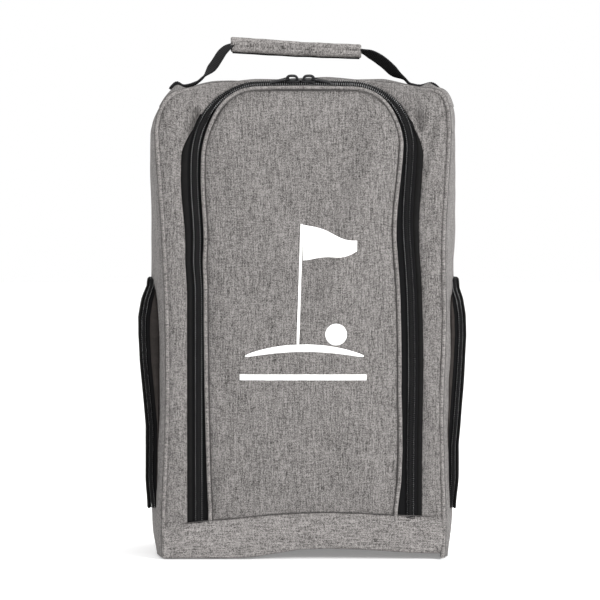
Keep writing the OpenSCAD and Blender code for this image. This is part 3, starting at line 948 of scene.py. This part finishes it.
def flap_y(x, z):
    """Where the flap's face is: pulled in along its piping, crowned and slack between."""
    d = edge_distance(x, z)
    low = np.clip((z - seam_arch(x)) / 10, 0, 1)
    y0 = HINGE_Y + 0.1
    d = np.clip(d - 1.5, 0, None)
    crown = 3.0 * (1 - np.exp(-d / 5.0)) + 2.6 * (1 - np.exp(-d / 34))
    sag = 1.2 * bump(z, 120, 80) * np.clip(d / 40, 0, 1)
    p = np.stack([x, np.zeros_like(x), z], -1)
    wide = ripple(p * [0.8, 1, 0.5], 46, 11) * 1.0
    long = ripple(p * [0.45, 1, 1.3], 24, 12) * 0.35
    fine = ripple(p * [1, 1, 0.8], 9, 13) * 0.10
    near = ripple(p * [1, 1, 1.6], 11, 14) * 0.45 * np.exp(-((d - 6) / 6) ** 2)
    near = near + creases(p, [(62, 338, 20, 196, 10, 3.6), (40, 330, -8, 214, 14, -1.6),
                              (-60, 330, -44, 270, 11, 1.1), (58, 120, 66, 60, 9, -1.2),
                              (-52, 96, -62, 52, 9, 1.5), (10, 64, 34, 48, 5, -1.4),
                              (-30, 60, 20, 72, 9, 1.0), (-66, 180, -60, 120, 8, -0.9)])
    slack = np.clip(d / 9, 0, 1)
    return y0 - (crown + sag) * (0.35 + 0.65 * low) - (wide + long + fine) * slack - near


def build_flap():
    x, z = flap_grid(132, 210, 1.5)
    y = flap_y(x, z)
    skin = np.stack([x, y, z], -1)
    o = sheet("flap_fabric", skin, 0.9, "heather", "flap fold", np.stack([x, z], -1))
    piece(o, "flap_panel")
    x, z = flap_grid(90, 130, 5.0)
    pad = np.stack([x, flap_y(x, z) + 1.2, z], -1)
    piece(sheet("flap_foam_pad", pad, 1.6, "foam", "flap fold", np.stack([x, z], -1)), "flap_foam")
    x, z = flap_grid(80, 120, 0.5)
    y = HINGE_Y + 2.0 + ripple(np.stack([x, 0 * x, z], -1), 30, 15) * 0.5
    back = np.stack([x, y, z], -1)[:, ::-1]
    piece(sheet("flap_lining_cloth", back, LINING, "lining", "flap fold", back[..., [0, 2]]),
          "flap_lining")

    inset = piping_inset(ZIP_S)
    line = zip_line(0.2 - inset, 1.0)
    line = spaced(line, int(lengths(line)[-1] / 2))
    line[:, 1] -= 0.075 * np.sin(np.linspace(0, 140, len(line)))
    piece(tube("flap_piping_cord", line, PIPING_R, "piping", "flap fold", sides=12), "flap_piping")
    # dark stitches in the groove inside the piping: thread, and painted shade of the groove
    groove = zip_line(-1.75 - inset, 0.75)
    piece(stitch("flap_piping_stitches", groove, zip_line(0, 1) - zip_line(0, 0), STITCH, 0.3,
                 "flap fold"))


# ---------------------------------------------------------------- base band, base and back
def band_foot(x):
    """The band's lower edge: the front of the base lifts a little in the middle."""
    at = [-110, -60, -46, -35, -20, -2, 20, 46, 62, 81, 110]
    rise = [0.9, 0.9, 1.3, 2.2, 4.8, 7.7, 8.3, 7.7, 6.5, 5.2, 4.5]
    return np.interp(x, at, rise)


def base_lift(x, y):
    """The whole base bows up between its sides, a little less at the back."""
    back = smooth((np.asarray(y) + SEAM_Y) / (2 * SEAM_Y))
    end = smooth((SEAM_X + 4 - np.abs(x)) / 22)
    return (band_foot(x) - 0.9) * (1 - back * (0.2 + 0.8 * (1 - end)))


def floor_grid(node_name, rows):
    """x and y of a grid over a flat CAD piece, and its underside's and its top's height."""
    low, high = box_mm(node_name)
    x, y = np.meshgrid(np.linspace(low[0], high[0], 50), np.linspace(low[1], high[1], rows),
                       indexing="ij")
    return x, y, low[2], high[2]


def build_base():
    nx, nz = 150, 26
    f = np.linspace(-1, 1, nx)
    half = x_at(LOOP["right"][0], 20) - 0.8
    x = np.repeat((f * half)[:, None], nz, 1)
    t = np.linspace(0, 1, nz)[None, :]
    foot = band_foot(x)
    z = foot + (seam_arch(x) + 0.3 - foot) * t
    y = (FRONT_Y + 0.2 - 2.3 * np.clip(np.sin(math.pi * np.clip(t * 1.02, 0, 1)), 0, 1) ** 0.5
         - 1.0 * smooth((t - 0.75) / 0.25) * smooth((78 - np.abs(x)) / 8))
    p = np.stack([x, y, z], -1)
    p[..., 1] -= (ripple(p * [0.5, 1, 1.2], 22, 21) * 0.55
                  + ripple(p, 8, 22) * 0.15) * np.sin(math.pi * t) ** 0.5
    # the band's cloth is the lighter heather, whose extra lightness is painted light
    piece(sheet("base_band_fabric", p, FABRIC, "band", "bag", np.stack([x, z], -1)), "base_band")
    x = np.linspace(-half, half, 500)
    line = np.stack([x, FRONT_Y - 0.9 - 1.0 * smooth((78 - np.abs(x)) / 8), seam_arch(x) + 0.5], 1)
    forward = np.tile([0.0, -1, 0], (len(line), 1))
    piece(stitch("base_band_seam", line, forward, STITCH, 0.3, "bag"))

    f = np.linspace(0, 1, 60)[None, :]
    edge = [x_at(l, 3) for l in LOOP["right"]]
    across = np.linspace(-1, 1, 90)[:, None]
    y = FRONT_Y + 0.4 + f * (2 * SEAM_Y + 2.4) + 0 * across
    half = edge[0] + (edge[1] - edge[0]) * np.sin(math.pi * f) ** 0.7 - 0.4
    x = across * half
    z = 0.55 + base_lift(x, y) + 0.35 * (ripple(np.stack([x, y, 0 * x], -1), 20, 23) + 1) * 0.5
    under = np.stack([x, y, z], -1)[:, ::-1]
    piece(sheet("base_fabric", under, 0.9, "heather", "bag", under[..., :2]), "base_panel")
    x, y, low, high = floor_grid("base_lining", 30)
    z = high + base_lift(x, y) + 0.3 * ripple(np.stack([x, y, 0 * x], -1), 25, 24)
    cloth = np.stack([x, y, z], -1)
    piece(sheet("base_lining_cloth", cloth, LINING, "lining", "bag"), "base_lining")
    x, y, low, high = floor_grid("base_board", 20)
    board = np.stack([x, y, low + 0.2 + base_lift(x, y)], -1)
    piece(sheet("base_board_bowed", board, high - low - 0.4, "board", "bag"), "base_board")


def back_surface(depth, inset):
    """The back panel between its seams: nearly flat, a little slack."""
    shoulder, low, high = 330, 1.2 + inset, BODY_TOP - 1.2 - inset
    zs = np.concatenate([np.linspace(low, shoulder, 142, endpoint=False),
                         shoulder + (high - shoulder) * np.sin(np.linspace(0, math.pi / 2, 48))])
    xr = x_at(LOOP["right"][2], zs) - inset
    f = np.linspace(-1, 1, 110)
    x = xr[:, None] * f
    z = np.repeat(zs[:, None], len(f), 1)
    edge = np.minimum(np.minimum((1 - np.abs(f))[None, :] * xr[:, None], z), BODY_TOP - z)
    p = np.stack([x, 0 * x, z], -1)
    slack = np.clip(edge / 14, 0, 1)
    y = (SEAM_Y + 1.4 + 0.9 * (1 - np.exp(-np.clip(edge, 0, None) / 7))
         + slack * (0.7 * ripple(p * [0.7, 1, 0.5], 44, 31) + 0.2 * ripple(p, 14, 32)))
    drag = ripple(p * [1.5, 1, 0.6] + p[..., [2, 1, 0]] * 0.4, 30, 33)
    p[..., 1] = y + slack * 0.6 * drag - depth
    return p


def build_back():
    p = back_surface(0, 0.2)
    loose = settle(p, 0.012, 1.5, 3.0)
    loose[..., 1] = np.maximum(p[..., 1] - 0.3, loose[..., 1])
    for name, p, thick, mat, node_name in (
            ("back_fabric", loose[:, ::-1], FABRIC, "heather", "back_panel"),
            ("back_foam_pad", back_surface(1.25, 5.0)[:, ::-1], 1.9, "foam", "back_foam"),
            ("back_lining_cloth", back_surface(3.5, 2.5), LINING, "lining", "back_lining")):
        piece(sheet(name, p, thick, mat, "bag", p[..., [0, 2]]), node_name)


def build_welts():
    ends = (("front", 0, -1.0, -0.75, -SEAM_Y + 3.2), ("back", 2, 1.0, 0.2, SEAM_Y - 4))
    for end, which, _, proud, _ in ends:
        line = spaced(seam_line(which), 640) + [0, proud, 0]
        piece(tube(end + "_welt_cord", line, WELT_R, "piping", "bag", up=(0.05, 1, 0.1), sides=12),
              end + "_welt")
    threads = []
    for end, which, way, _, _ in ends:
        seam = spaced(seam_line(which), 900)
        beside = unit(np.cross(tangents(seam), [0, 1.0, 0]))
        # dark stitch rows in the grooves beside each welt: thread, and painted shade of the grooves
        for offset in (-1.75, 1.75):
            threads.append(stitch(f"{end}_welt_stitches_{offset}",
                                  seam + beside * offset + [0, way * 0.55, 0],
                                  np.tile([0, way, 0], (len(seam), 1)), STITCH, 0.2, None))
    piece(joined("welt_stitches", threads, "seam", "bag"))
    for end, _, _, _, y in ends:
        low, high = box_mm("seam_tape_" + end)
        z = np.linspace(low[2] + 1, high[2] - 1, 90)
        line = np.stack([np.full_like(z, high[0] - 2.6), np.full_like(z, y), z], 1)
        tapes = [tube(f"binding_{end}_{side}", line * [k, 1, 1], 2.0, "black", None,
                      up=(0, 1, 0.01), sides=10, flat=0.4) for side, k in SIDES.items()]
        piece(joined("seam_binding_" + end, tapes, "black", "bag"), "seam_tape_" + end)


# ---------------------------------------------------------------- side pockets
def pocket_reach(side, z):
    """How far out the pocket's mouth stands at a height: it bellies out near its top."""
    right = side > 0
    zs = [30, 38, 46, 58, 72, 100, 125, 150, 170, 186 if right else 184, 197, 208, 217]
    xs = {1: [106.5, 108.5, 111.0, 114.4, 117.2, 119.8, 121.6, 123.2, 124.2, 123.7, 122.2,
              119, 115],
          -1: [106.5, 108.5, 111.0, 114.0, 116.6, 119.4, 121.8, 124.2, 125.2, 125, 123,
               119.6, 115]}
    sewn_down = side_face_x("right" if right else "left", 0, z) + 0.8 + 1.8 * smooth((z - 38) / 25)
    return np.maximum(np.interp(z, zs, xs[side]), sewn_down)


def pocket_arch(n=330):
    """y and height of the pocket's edge, from the front base over the top to the rear base."""
    half, top, r = POCKET_EDGE, POCKET_TOP - 1, POCKET_CORNER
    z = np.linspace(POCKET_Z - POCKET_FOOT, top - r, 120, endpoint=False)
    a = np.radians(np.linspace(180, 90, 60, endpoint=False))
    run = np.linspace(-half + r, 0, 20)
    left = np.vstack([np.stack([np.full_like(z, -half), z], 1),
                      np.stack([-half + r + r * np.cos(a), top - r + r * np.sin(a)], 1),
                      np.stack([run, np.full_like(run, top)], 1)])
    return spaced(np.vstack([left[:-1], (left * [-1, 1])[::-1]]), n)


def pocket_frame(side):
    """The chain's middle, the way inward to the bag, and the way outward from the arch."""
    arch = pocket_arch()
    k = SIDES[side]
    p = np.stack([k * (pocket_reach(k, arch[:, 1]) - POCKET_CHAIN_IN), arch[:, 0], arch[:, 1]], 1)
    t = tangents(p)
    across = np.tile([-float(k), 0.0, 0.0], (len(p), 1))
    out = unit(np.cross(t, across)) * -k
    away = np.stack([0 * arch[:, 0], arch[:, 0], arch[:, 1] - 120], 1)
    out = out * np.sign((out * away).sum(1))[:, None]
    across = unit(np.cross(out, t))
    across = across * np.sign(-k * across[:, :1])
    return p, across, out


def side_face_x(side, y, z):
    """Where the bag's side fabric is."""
    front, middle, back = LOOP[side]
    f, m, b = (np.abs(x_at(l, z)) for l in (front, middle, back))
    t = np.clip((np.asarray(y) - FRONT_Y) / (2 * SEAM_Y + 3.2), 0, 1)
    return f * (1 - t) + b * t + (m - (f + b) / 2) * np.sin(math.pi * t) ** 0.7


def build_pocket(side):
    k = SIDES[side]
    p, across, out = pocket_frame(side)
    fold = "pocket fold " + side
    # gusset band, from the chain's inner tape edge down to the bag's side
    t = np.linspace(0, 1, 9)
    start = p + across * 4.6 - out * 0.6
    foot = start.copy()
    foot[:, 0] = k * np.minimum(side_face_x(side, p[:, 1], p[:, 2]) - 0.2,
                                np.abs(start[:, 0]) - 0.3)
    foot = foot + out * np.array([[0, 1.5, 1.0]])
    grid = between(start, foot, t) + out[:, None] * ridge(t, 1.3)[None, :, None]
    slack = ripple(grid, 18, 41) * 0.6 * np.sin(math.pi * t)[None, :]
    grid = grid + out[:, None] * slack[..., None]
    piece(sheet("pocket_gusset_fabric_" + side, grid, 0.8, "pocket_fabric", "bag"),
          "pocket_gusset_" + side)
    for sign, name, body, far in ((1, "outer", "bag", 4.8), (-1, "inner", fold, -3.9)):
        end = f"{name}_{side}"
        piece(strip_along("pocket_tape_woven_" + end, p, across, out, 1.5 * sign, far, -0.5, body),
              "pocket_tape_" + end)
        piece(coil("pocket_coil_wire_" + end, p, across, out, sign, body, 0.3, 1.2, 0.62),
              "pocket_coil_" + end)
        # pale thread whose stitch tops show as painted glints along the chain
        piece(stitch("pocket_coil_thread_" + end, p + across * sign * 1.35 - out * 0.1, out, TOOTH,
                     0.2, body, "thread", 2.6, 16))
    # cover, bellied out between the chain's runs
    arch = pocket_arch(240)
    half = len(arch) // 2
    low, high = arch[: half + 1], arch[half:][::-1]
    spring = POCKET_TOP - 37
    rows = np.concatenate([np.linspace(POCKET_Z - POCKET_FOOT, spring, 74, endpoint=False),
                           spring + 35.7 * np.sin(np.linspace(0, math.pi / 2, 34))])
    y0, y1 = (np.interp(rows, run[:, 1], run[:, 0]) for run in (low, high))
    f = np.linspace(0, 1, 56)
    y = y0[:, None] * (1 - f) + y1[:, None] * f
    z = np.repeat(rows[:, None], len(f), 1)
    off = np.stack([y, z], -1)[:, :, None] - arch[None, None, ::3]
    edge = np.minimum(np.sqrt((off ** 2).sum(-1)).min(-1), 60)
    x = (pocket_reach(k, z) + 0.1 + 1.3 * (1 - np.exp(-edge / 5))
         - 0.7 * np.clip((edge - 8) / 40, 0, 1))
    grid = np.stack([k * x, y, z], -1)
    lumps = ripple(grid * [1, 1, 0.7], 26, 42 + k) * 0.5 * np.clip(edge / 10, 0, 1)
    grid[..., 0] += k * np.minimum(lumps, 0.3)
    piece(sheet("pocket_cover_mesh_" + side, grid, 1.3, "mesh", fold, np.stack([y, z], -1)),
          "pocket_cover_" + side)
    y, z = pocket_arch(300).T
    rim = np.stack([k * (pocket_reach(k, z) - 0.3), y * 0.985, z - 0.6], 1)
    piece(tube("pocket_cover_binding_" + side, rim, 1.1, "black", fold, up=(1, 0.1, 0), sides=10,
               flat=0.8))


# ---------------------------------------------------------------- handle
def strap(name, line, width_dir):
    """Flat webbing along a line, with real ribs across it: doubled where it is sewn to
    the bag, and gathered where it goes into the grip."""
    s = lengths(line)
    at = np.linspace(0, s[-1], int(s[-1] / (RIB_PITCH / 5)))
    c, wd = resampled(line, s, at), unit(resampled(width_dir, s, at))
    t = tangents(c)
    wd = unit(wd - t * (wd * t).sum(1, keepdims=True))
    up = np.cross(t, wd)
    q = around(24)
    ex = squared(np.cos(q), 0.35) * WEBBING_W / 2
    ey = squared(np.sin(q), 0.5) * WEBBING_T / 2
    swell = 1 + RIB_RISE / (WEBBING_T / 2) * (0.5 + 0.5 * np.cos(2 * math.pi * at / RIB_PITCH))
    swell = swell * (1 + 0.45 * smooth((0.36 - at / s[-1]) / 0.05))
    across = ex * (1 - 0.52 * smooth((at / s[-1] - 0.82) / 0.12))[:, None]
    p = (c[:, None] + wd[:, None] * across[..., None]
         + up[:, None] * (ey[None, :] * swell[:, None])[..., None])
    weave = np.stack(np.broadcast_arrays(at[:, None], ex[None, :]), -1)
    return add(name, p.reshape(-1, 3), swept_faces(len(at), len(q)), "webbing", None, weave)


def build_handle():
    left = [(-102.8, 358.6), (-101.4, 360.8), (-97.6, BODY_TOP + 1.6), (-92.5, 361.3), (-85, 362.8),
            (-79, 366.6), (-69.5, 377.0), (-62, 388.0), (-54.5, 393.2), (-48, 393.8)]
    right = [(107.8, 355.5), (105, 359.4), (99.5, BODY_TOP + 1.0), (90.5, 361.2), (83, 363.0),
             (78.5, 367.2), (71.5, 371.6), (63, 379.2), (54.6, 384.8), (45.5, 388.4), (39, 388.8)]
    for side, pts, twist in (("left", left, 0.42), ("right", right, 0.40)):
        line = spline([(x, 0, z) for x, z in pts], 220)
        s = lengths(line) / lengths(line)[-1]
        turn = twist * smooth((s - 0.40) / 0.18) * (1 - 0.5 * smooth((s - 0.7) / 0.3))
        face = np.cross(tangents(line), [0, 1.0, 0])
        y_dir = np.tile([0.0, 1.0, 0.0], (len(line), 1))
        o = strap("handle_strap_" + side, line,
                  y_dir * np.cos(turn)[:, None] + face * np.sin(turn)[:, None])
        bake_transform(o)
        piece(o, "handle_web_" + side, "web_anchor_" + side)
    build_grip()


def build_grip():
    """The padded grip: a flattened tube with a fold along its front, and its seam."""
    n, m = 150, 44
    f = np.linspace(0, 1, n)
    x = -56.0 + 101.2 * f
    zc = 393.6 - 5.4 * f - 0.5 * np.sin(math.pi * f)
    hh = 6.0 - 0.7 * f + 0.12 * np.sin(f * 29) * np.sin(math.pi * f)
    hd = 4.6 + 0.3 * np.sin(math.pi * f)
    q = around(m)
    ey, ez = squared(np.cos(q), 0.55), squared(np.sin(q), 0.6)
    fold = -0.9 * bump(ez[None, :] - 0.04 * np.sin(f * 9)[:, None], 0.05, 0.10) * (ey < 0)[None, :]
    end = np.minimum(f, 1 - f)[:, None] * 98
    close = np.clip(end / 1.4, 0, 1) ** 0.5
    p = np.stack([np.repeat(x[:, None], m, 1),
                  (hd[:, None] + fold) * ey[None, :] * (0.72 + 0.28 * close),
                  zc[:, None] + hh[:, None] * ez[None, :] * (0.86 + 0.14 * close)], -1)
    lumps = ripple(p * [0.6, 1, 1], 12, 51) * 0.35 + ripple(p, 5, 52) * 0.1
    p = p + unit(p - np.stack([x, 0 * x, zc], 1)[:, None]) * lumps[..., None]
    weave = np.stack(np.broadcast_arrays(x[:, None], q[None, :] * 5), -1)
    o = add("handle_grip_wrap", p.reshape(-1, 3), swept_faces(n, m), "grip", "handle", weave)
    piece(o, "handle_grip", "handle_core")
    seam = np.stack([x, np.full(n, -1.2), zc - hh - 0.1], 1)[2:-2]
    piece(tube("handle_grip_seam", seam, 0.8, "black", "handle", up=(0, 1, 0)))


# ---------------------------------------------------------------- sliders and pulls
def in_frame(points, origin, along, across, out):
    points = np.asarray(points, float)
    return origin + points[..., :1] * along + points[..., 1:2] * across + points[..., 2:] * out


def closed_outline(start, half, tip, n):
    """A smooth closed outline, from one half of it and what lies on its middle line."""
    other = [(x, -y) for x, y in half[::-1]]
    return spline(other[-1:] + start + half + tip + other, n)[:-1]


def plate(outline, low, high, edge=0.3):
    """A flat piece with rounded edges: an outline in mm, swept in and out between two heights."""
    n = 40
    outline = spaced(np.vstack([outline, outline[:1]]), n + 1)[:-1]
    middle = outline.mean(0)
    inward = unit(middle - outline)
    profile = [(0.999, low), (edge, low), (0.08, low + edge * 0.8), (0.08, high - edge * 0.8),
               (edge, high), (0.999, high)]
    rings = []
    for inset, z in profile:
        ring = mixed(outline, middle, 0.97) if inset > 0.9 else outline + inward * inset
        rings.append(np.column_stack([ring, np.full(n, z)]))
    return np.vstack(rings), swept_faces(len(rings), n)


def bar_points(line, width, thick):
    """A flat bar bent along a line in the slider's length and height."""
    line = np.column_stack([line[:, 0], np.zeros(len(line)), line[:, 1]])
    up = np.cross(tangents(line), [0, 1.0, 0])
    q = around(20)
    p = line[:, None] + up[:, None] * (squared(np.sin(q), 0.4) * thick / 2)[None, :, None]
    p[..., 1] += squared(np.cos(q), 0.4) * width / 2
    return p.reshape(-1, 3), swept_faces(len(line), len(q))


def slider(name, body, origin, along, across, out, replaced):
    """A coil slider: two plates that grip the chain, a nose between them, and a crown."""
    outline = closed_outline([(0.0, 0)], [(0.2, 2.6), (1.4, 3.9), (4.2, 4.0), (7.6, 3.3),
                                          (10.4, 2.7), (11.0, 1.6)], [], 60)
    crown = spline([(1.3, 1.7), (2.2, 3.9), (3.4, 5.2), (5.6, 5.6), (8.2, 5.4), (9.7, 4.3),
                    (10.5, 2.6), (10.6, 1.6)], 40)
    ramp_line = spline([(-0.2, 1.5), (1.6, 2.2), (3.6, 2.4)], 14)
    shapes = [plate(outline, 1.25, 2.35), plate(outline, -2.35, -1.3),
              bar_points(crown, 2.9, 1.5), bar_points(ramp_line, 2.3, 1.2),
              bar_points(np.array([(1.6, -1.6), (1.6, 0), (1.6, 1.6)]), 1.6, 1.8)]
    for side in (-1, 1):
        rail = np.array([(5.4, 1.2), (8.0, 1.1), (10.6, 1.2)])
        verts, faces = bar_points(rail, 0.8, 1.1)
        verts[:, 1] += side * (3.05 - 0.25 * (verts[:, 0] - 5.4) / 2.6)
        shapes.append((verts, faces))
    parts = [add(f"{name}_{i}", in_frame(v, origin, along, across, out), f, "metal")
             for i, (v, f) in enumerate(shapes)]
    piece(joined(name, parts, "metal", body), replaced)


def pull(name, body, origin, along, across, out, replaced, length=15.0):
    """A pull: a bar through the crown, two arms and a rounded tab with raised ribs."""
    bar = in_frame([(0, v, 0) for v in np.linspace(-2.3, 2.3, 9)], origin, along, across, out)
    parts = [tube(name + "_bar", bar, 0.58, "metal", None, up=out + 0.01 * along, sides=12)]
    for side in (-1, 1):
        bend = spline([(-0.1, side * 2.1, 0), (1.4, side * 2.2, 0), (4.2, side * 1.9, 0)], 12)
        arm = in_frame(bend, origin, along, across, out)
        parts.append(tube(f"{name}_arm_{side}", arm, 0.5, "metal", None, up=out, sides=10))
    outline = closed_outline([], [(3.4, 2.1), (6, 2.45), (length - 2.2, 2.3),
                                  (length - 0.5, 1.5)], [(length, 0)], 50)
    verts, faces = plate(outline, -0.42, 0.42, 0.22)
    parts.append(add(name + "_tab", in_frame(verts, origin, along, across, out), faces, "metal"))
    for i, s in enumerate(np.arange(7.2, length - 2, 1.5)):
        rib = in_frame([(s, v, 0.4) for v in np.linspace(-1.5, 1.5, 7)], origin, along, across, out)
        parts.append(tube(f"{name}_rib_{i}", rib, 0.24, "metal", None, up=along, sides=8))
    piece(joined(name, parts, "metal", body), replaced)


def build_sliders():
    for side, k in SIDES.items():
        turn = joint("zip_pull_turn_" + side)["pos_m"]
        at = np.array([turn[0] / MM - k * 8.6, ZIP_TOP_Y, ZIP_TOP_Z + 1.0])
        along = np.array([float(k), 0, 0])
        lean = math.radians(TOP_LEAN)
        out = np.array([0, -math.sin(lean), math.cos(lean)])
        across = np.cross(out, along)
        slider("zip_slider_body_" + side, "main_slider_" + side, at, along, across, out,
               "zip_slider_" + side)
        bar = np.array([turn[0] / MM, ZIP_TOP_Y - 1.4, turn[2] / MM - 0.2])
        drop = math.radians(13)
        way = np.array([k * math.cos(drop), 0, -math.sin(drop)])
        flat = np.array([0, math.cos(lean), math.sin(lean)])
        flat = unit(flat - way * (flat @ way))
        pull("zip_pull_tab_" + side, "main_pull_" + side, bar, way, flat, np.cross(way, flat) * k,
             "zip_pull_" + side)
        turn = joint("pocket_pull_turn_" + side)["pos_m"]
        z = turn[2] / MM
        lean_axis = np.array(joint("pocket_slide_" + side)["axis"], float)
        at = np.array([k * (pocket_reach(k, z - 4.6) - POCKET_CHAIN_IN), POCKET_EDGE,
                       z - 4.6 - 4.0])
        out = np.array([0.0, 1, 0])
        slider("pocket_slider_body_" + side, "side_slider_" + side, at, lean_axis,
               np.cross(out, lean_axis), out, "pocket_slider_" + side)
        bar = np.array([at[0] + lean_axis[0] * 8.6, turn[1] / MM - 0.2, z])
        down = unit(np.array([-lean_axis[0], 0.13, -lean_axis[2]]))
        flat = unit(np.cross(down, out))
        away = unit(np.cross(flat, down))
        pull("pocket_pull_tab_" + side, "side_pull_" + side, bar, down, flat,
             away * np.sign(away[1]), "pocket_pull_" + side, 13.0)


# ---------------------------------------------------------------- white mark on the flap
def print_patch(name, x, z):
    x, z = np.broadcast_arrays(x, z)
    y = flap_y(x, z) - 0.12
    return sheet(name, np.stack([x, y, z], -1), 0.3, "print", None, np.stack([x, z], -1))


def build_mark():
    """A flag on its stick, a ball, the green's edge and a plain bar."""
    parts = []
    t = np.linspace(0, 1, 90)[:, None]
    q = np.linspace(-1, 1, 5)[None, :]
    lean = 3.0 * t
    parts.append(print_patch("mark_stick", -4 + lean + q * 0.95, 163 + 92 * t + 0 * q))
    u = np.linspace(0, 1, 60)[:, None]
    v = np.linspace(-1, 1, 34)[None, :]
    wave = 2.4 * np.sin(u * 6.5) * u
    parts.append(print_patch("mark_flag", -0.2 + 41 * u + 0 * v,
                             241 + wave + v * (13.5 - 9.5 * u ** 1.2) - 3 * u))
    a = np.linspace(0, 2 * math.pi, 61)[:, None]
    r = np.linspace(0.02, 1, 12)[None, :]
    parts.append(print_patch("mark_ball", 25 + 8.2 * r * np.cos(a), 171.5 + 8.2 * r * np.sin(a)))
    g = np.linspace(-1, 1, 140)[:, None]
    thick = 2.6 * np.sqrt(np.clip(1 - g ** 2, 0, 1)) + 0.2
    parts.append(print_patch("mark_green", 1 + 45 * g,
                             158.5 + 6.2 * (1 - g ** 2) - 3.5 + q * thick))
    b = np.linspace(-1, 1, 110)[:, None]
    parts.append(print_patch("mark_bar", b * 48, 139 + q * 2.2 + 0 * b))
    piece(joined("flap_mark", parts, "print", "front_flap"))


# ---------------------------------------------------------------- parts kept from the CAD
def finish_cad():
    for name, obj in frame["nodes"].items():
        obj.data.materials.clear()
        obj.data.materials.append(MAT["foam" if "foam" in name else "lining"])


build_shell()
build_surround()
build_zip()
build_flap()
build_base()
build_back()
build_welts()
for pocket_side in SIDES:
    build_pocket(pocket_side)
build_handle()
build_sliders()
build_mark()
finish_cad()


# ---------------------------------------------------------------- floor, light and camera
LIGHTS = (("key", (2.1, -2.0, 1.2), 0.8, 82), ("fill", (-2.0, -2.4, 1.0), 1.8, 8),
          ("top", (0, 0.2, 2.6), 1.4, 14), ("left", (-2.6, -0.4, 0.9), 1.6, 2.5),
          ("right", (2.6, -0.4, 0.9), 1.6, 1))     # place, size and power
LIT_AT = Vector((0, 0, 0.2))
CAMERA_AT, CAMERA_RISE = 2.4, math.radians(2.0)    # distance and elevation
SEEN_AT, SEEN_WIDTH = Vector((-0.0023, FRONT_Y * MM, 0.1974)), 0.4548
SENSOR = 36


def stage_set():
    scene = bpy.context.scene
    scene.view_settings.view_transform = "Standard"
    world = bpy.data.worlds.new("studio")
    world.use_nodes = True
    world.node_tree.nodes["Background"].inputs["Color"].default_value = (1, 1, 1, 1)
    world.node_tree.nodes["Background"].inputs["Strength"].default_value = 1.0
    scene.world = world
    m, tree, shader = material("floor_paper", (0.9, 0.9, 0.9), 0.9)
    uneven = grain(tree, (0.004, 0.004, 0.004), 2, "object")
    tree.links.new(ramp(tree, uneven, [(0.3, (0.93, 0.93, 0.93)), (0.7, (0.97, 0.97, 0.97))]),
                   shader.inputs["Base Color"])
    bpy.ops.mesh.primitive_plane_add(size=14)
    floor = bpy.context.object
    floor.name = "floor"
    shader.inputs["Emission Color"].default_value = (1, 1, 1, 1)
    shader.inputs["Emission Strength"].default_value = 0.22
    floor.data.materials.append(m)
    for name, spot, size, power in LIGHTS:
        light = bpy.data.lights.new(name, "AREA")
        light.size = size
        light.energy = power
        obj = bpy.data.objects.new(name, light)
        obj.location = spot
        obj.rotation_euler = (LIT_AT - Vector(spot)).to_track_quat("-Z", "Y").to_euler()
        scene.collection.objects.link(obj)
    camera = bpy.data.cameras.new("camera")
    camera.sensor_width = SENSOR
    camera.lens = SENSOR * CAMERA_AT / SEEN_WIDTH
    cam = bpy.data.objects.new("camera", camera)
    back, up = CAMERA_AT * math.cos(CAMERA_RISE), CAMERA_AT * math.sin(CAMERA_RISE)
    cam.location = SEEN_AT + Vector((0, -back, up))
    cam.rotation_euler = (SEEN_AT - cam.location).to_track_quat("-Z", "Y").to_euler()
    scene.collection.objects.link(cam)
    scene.camera = cam


stage_set()
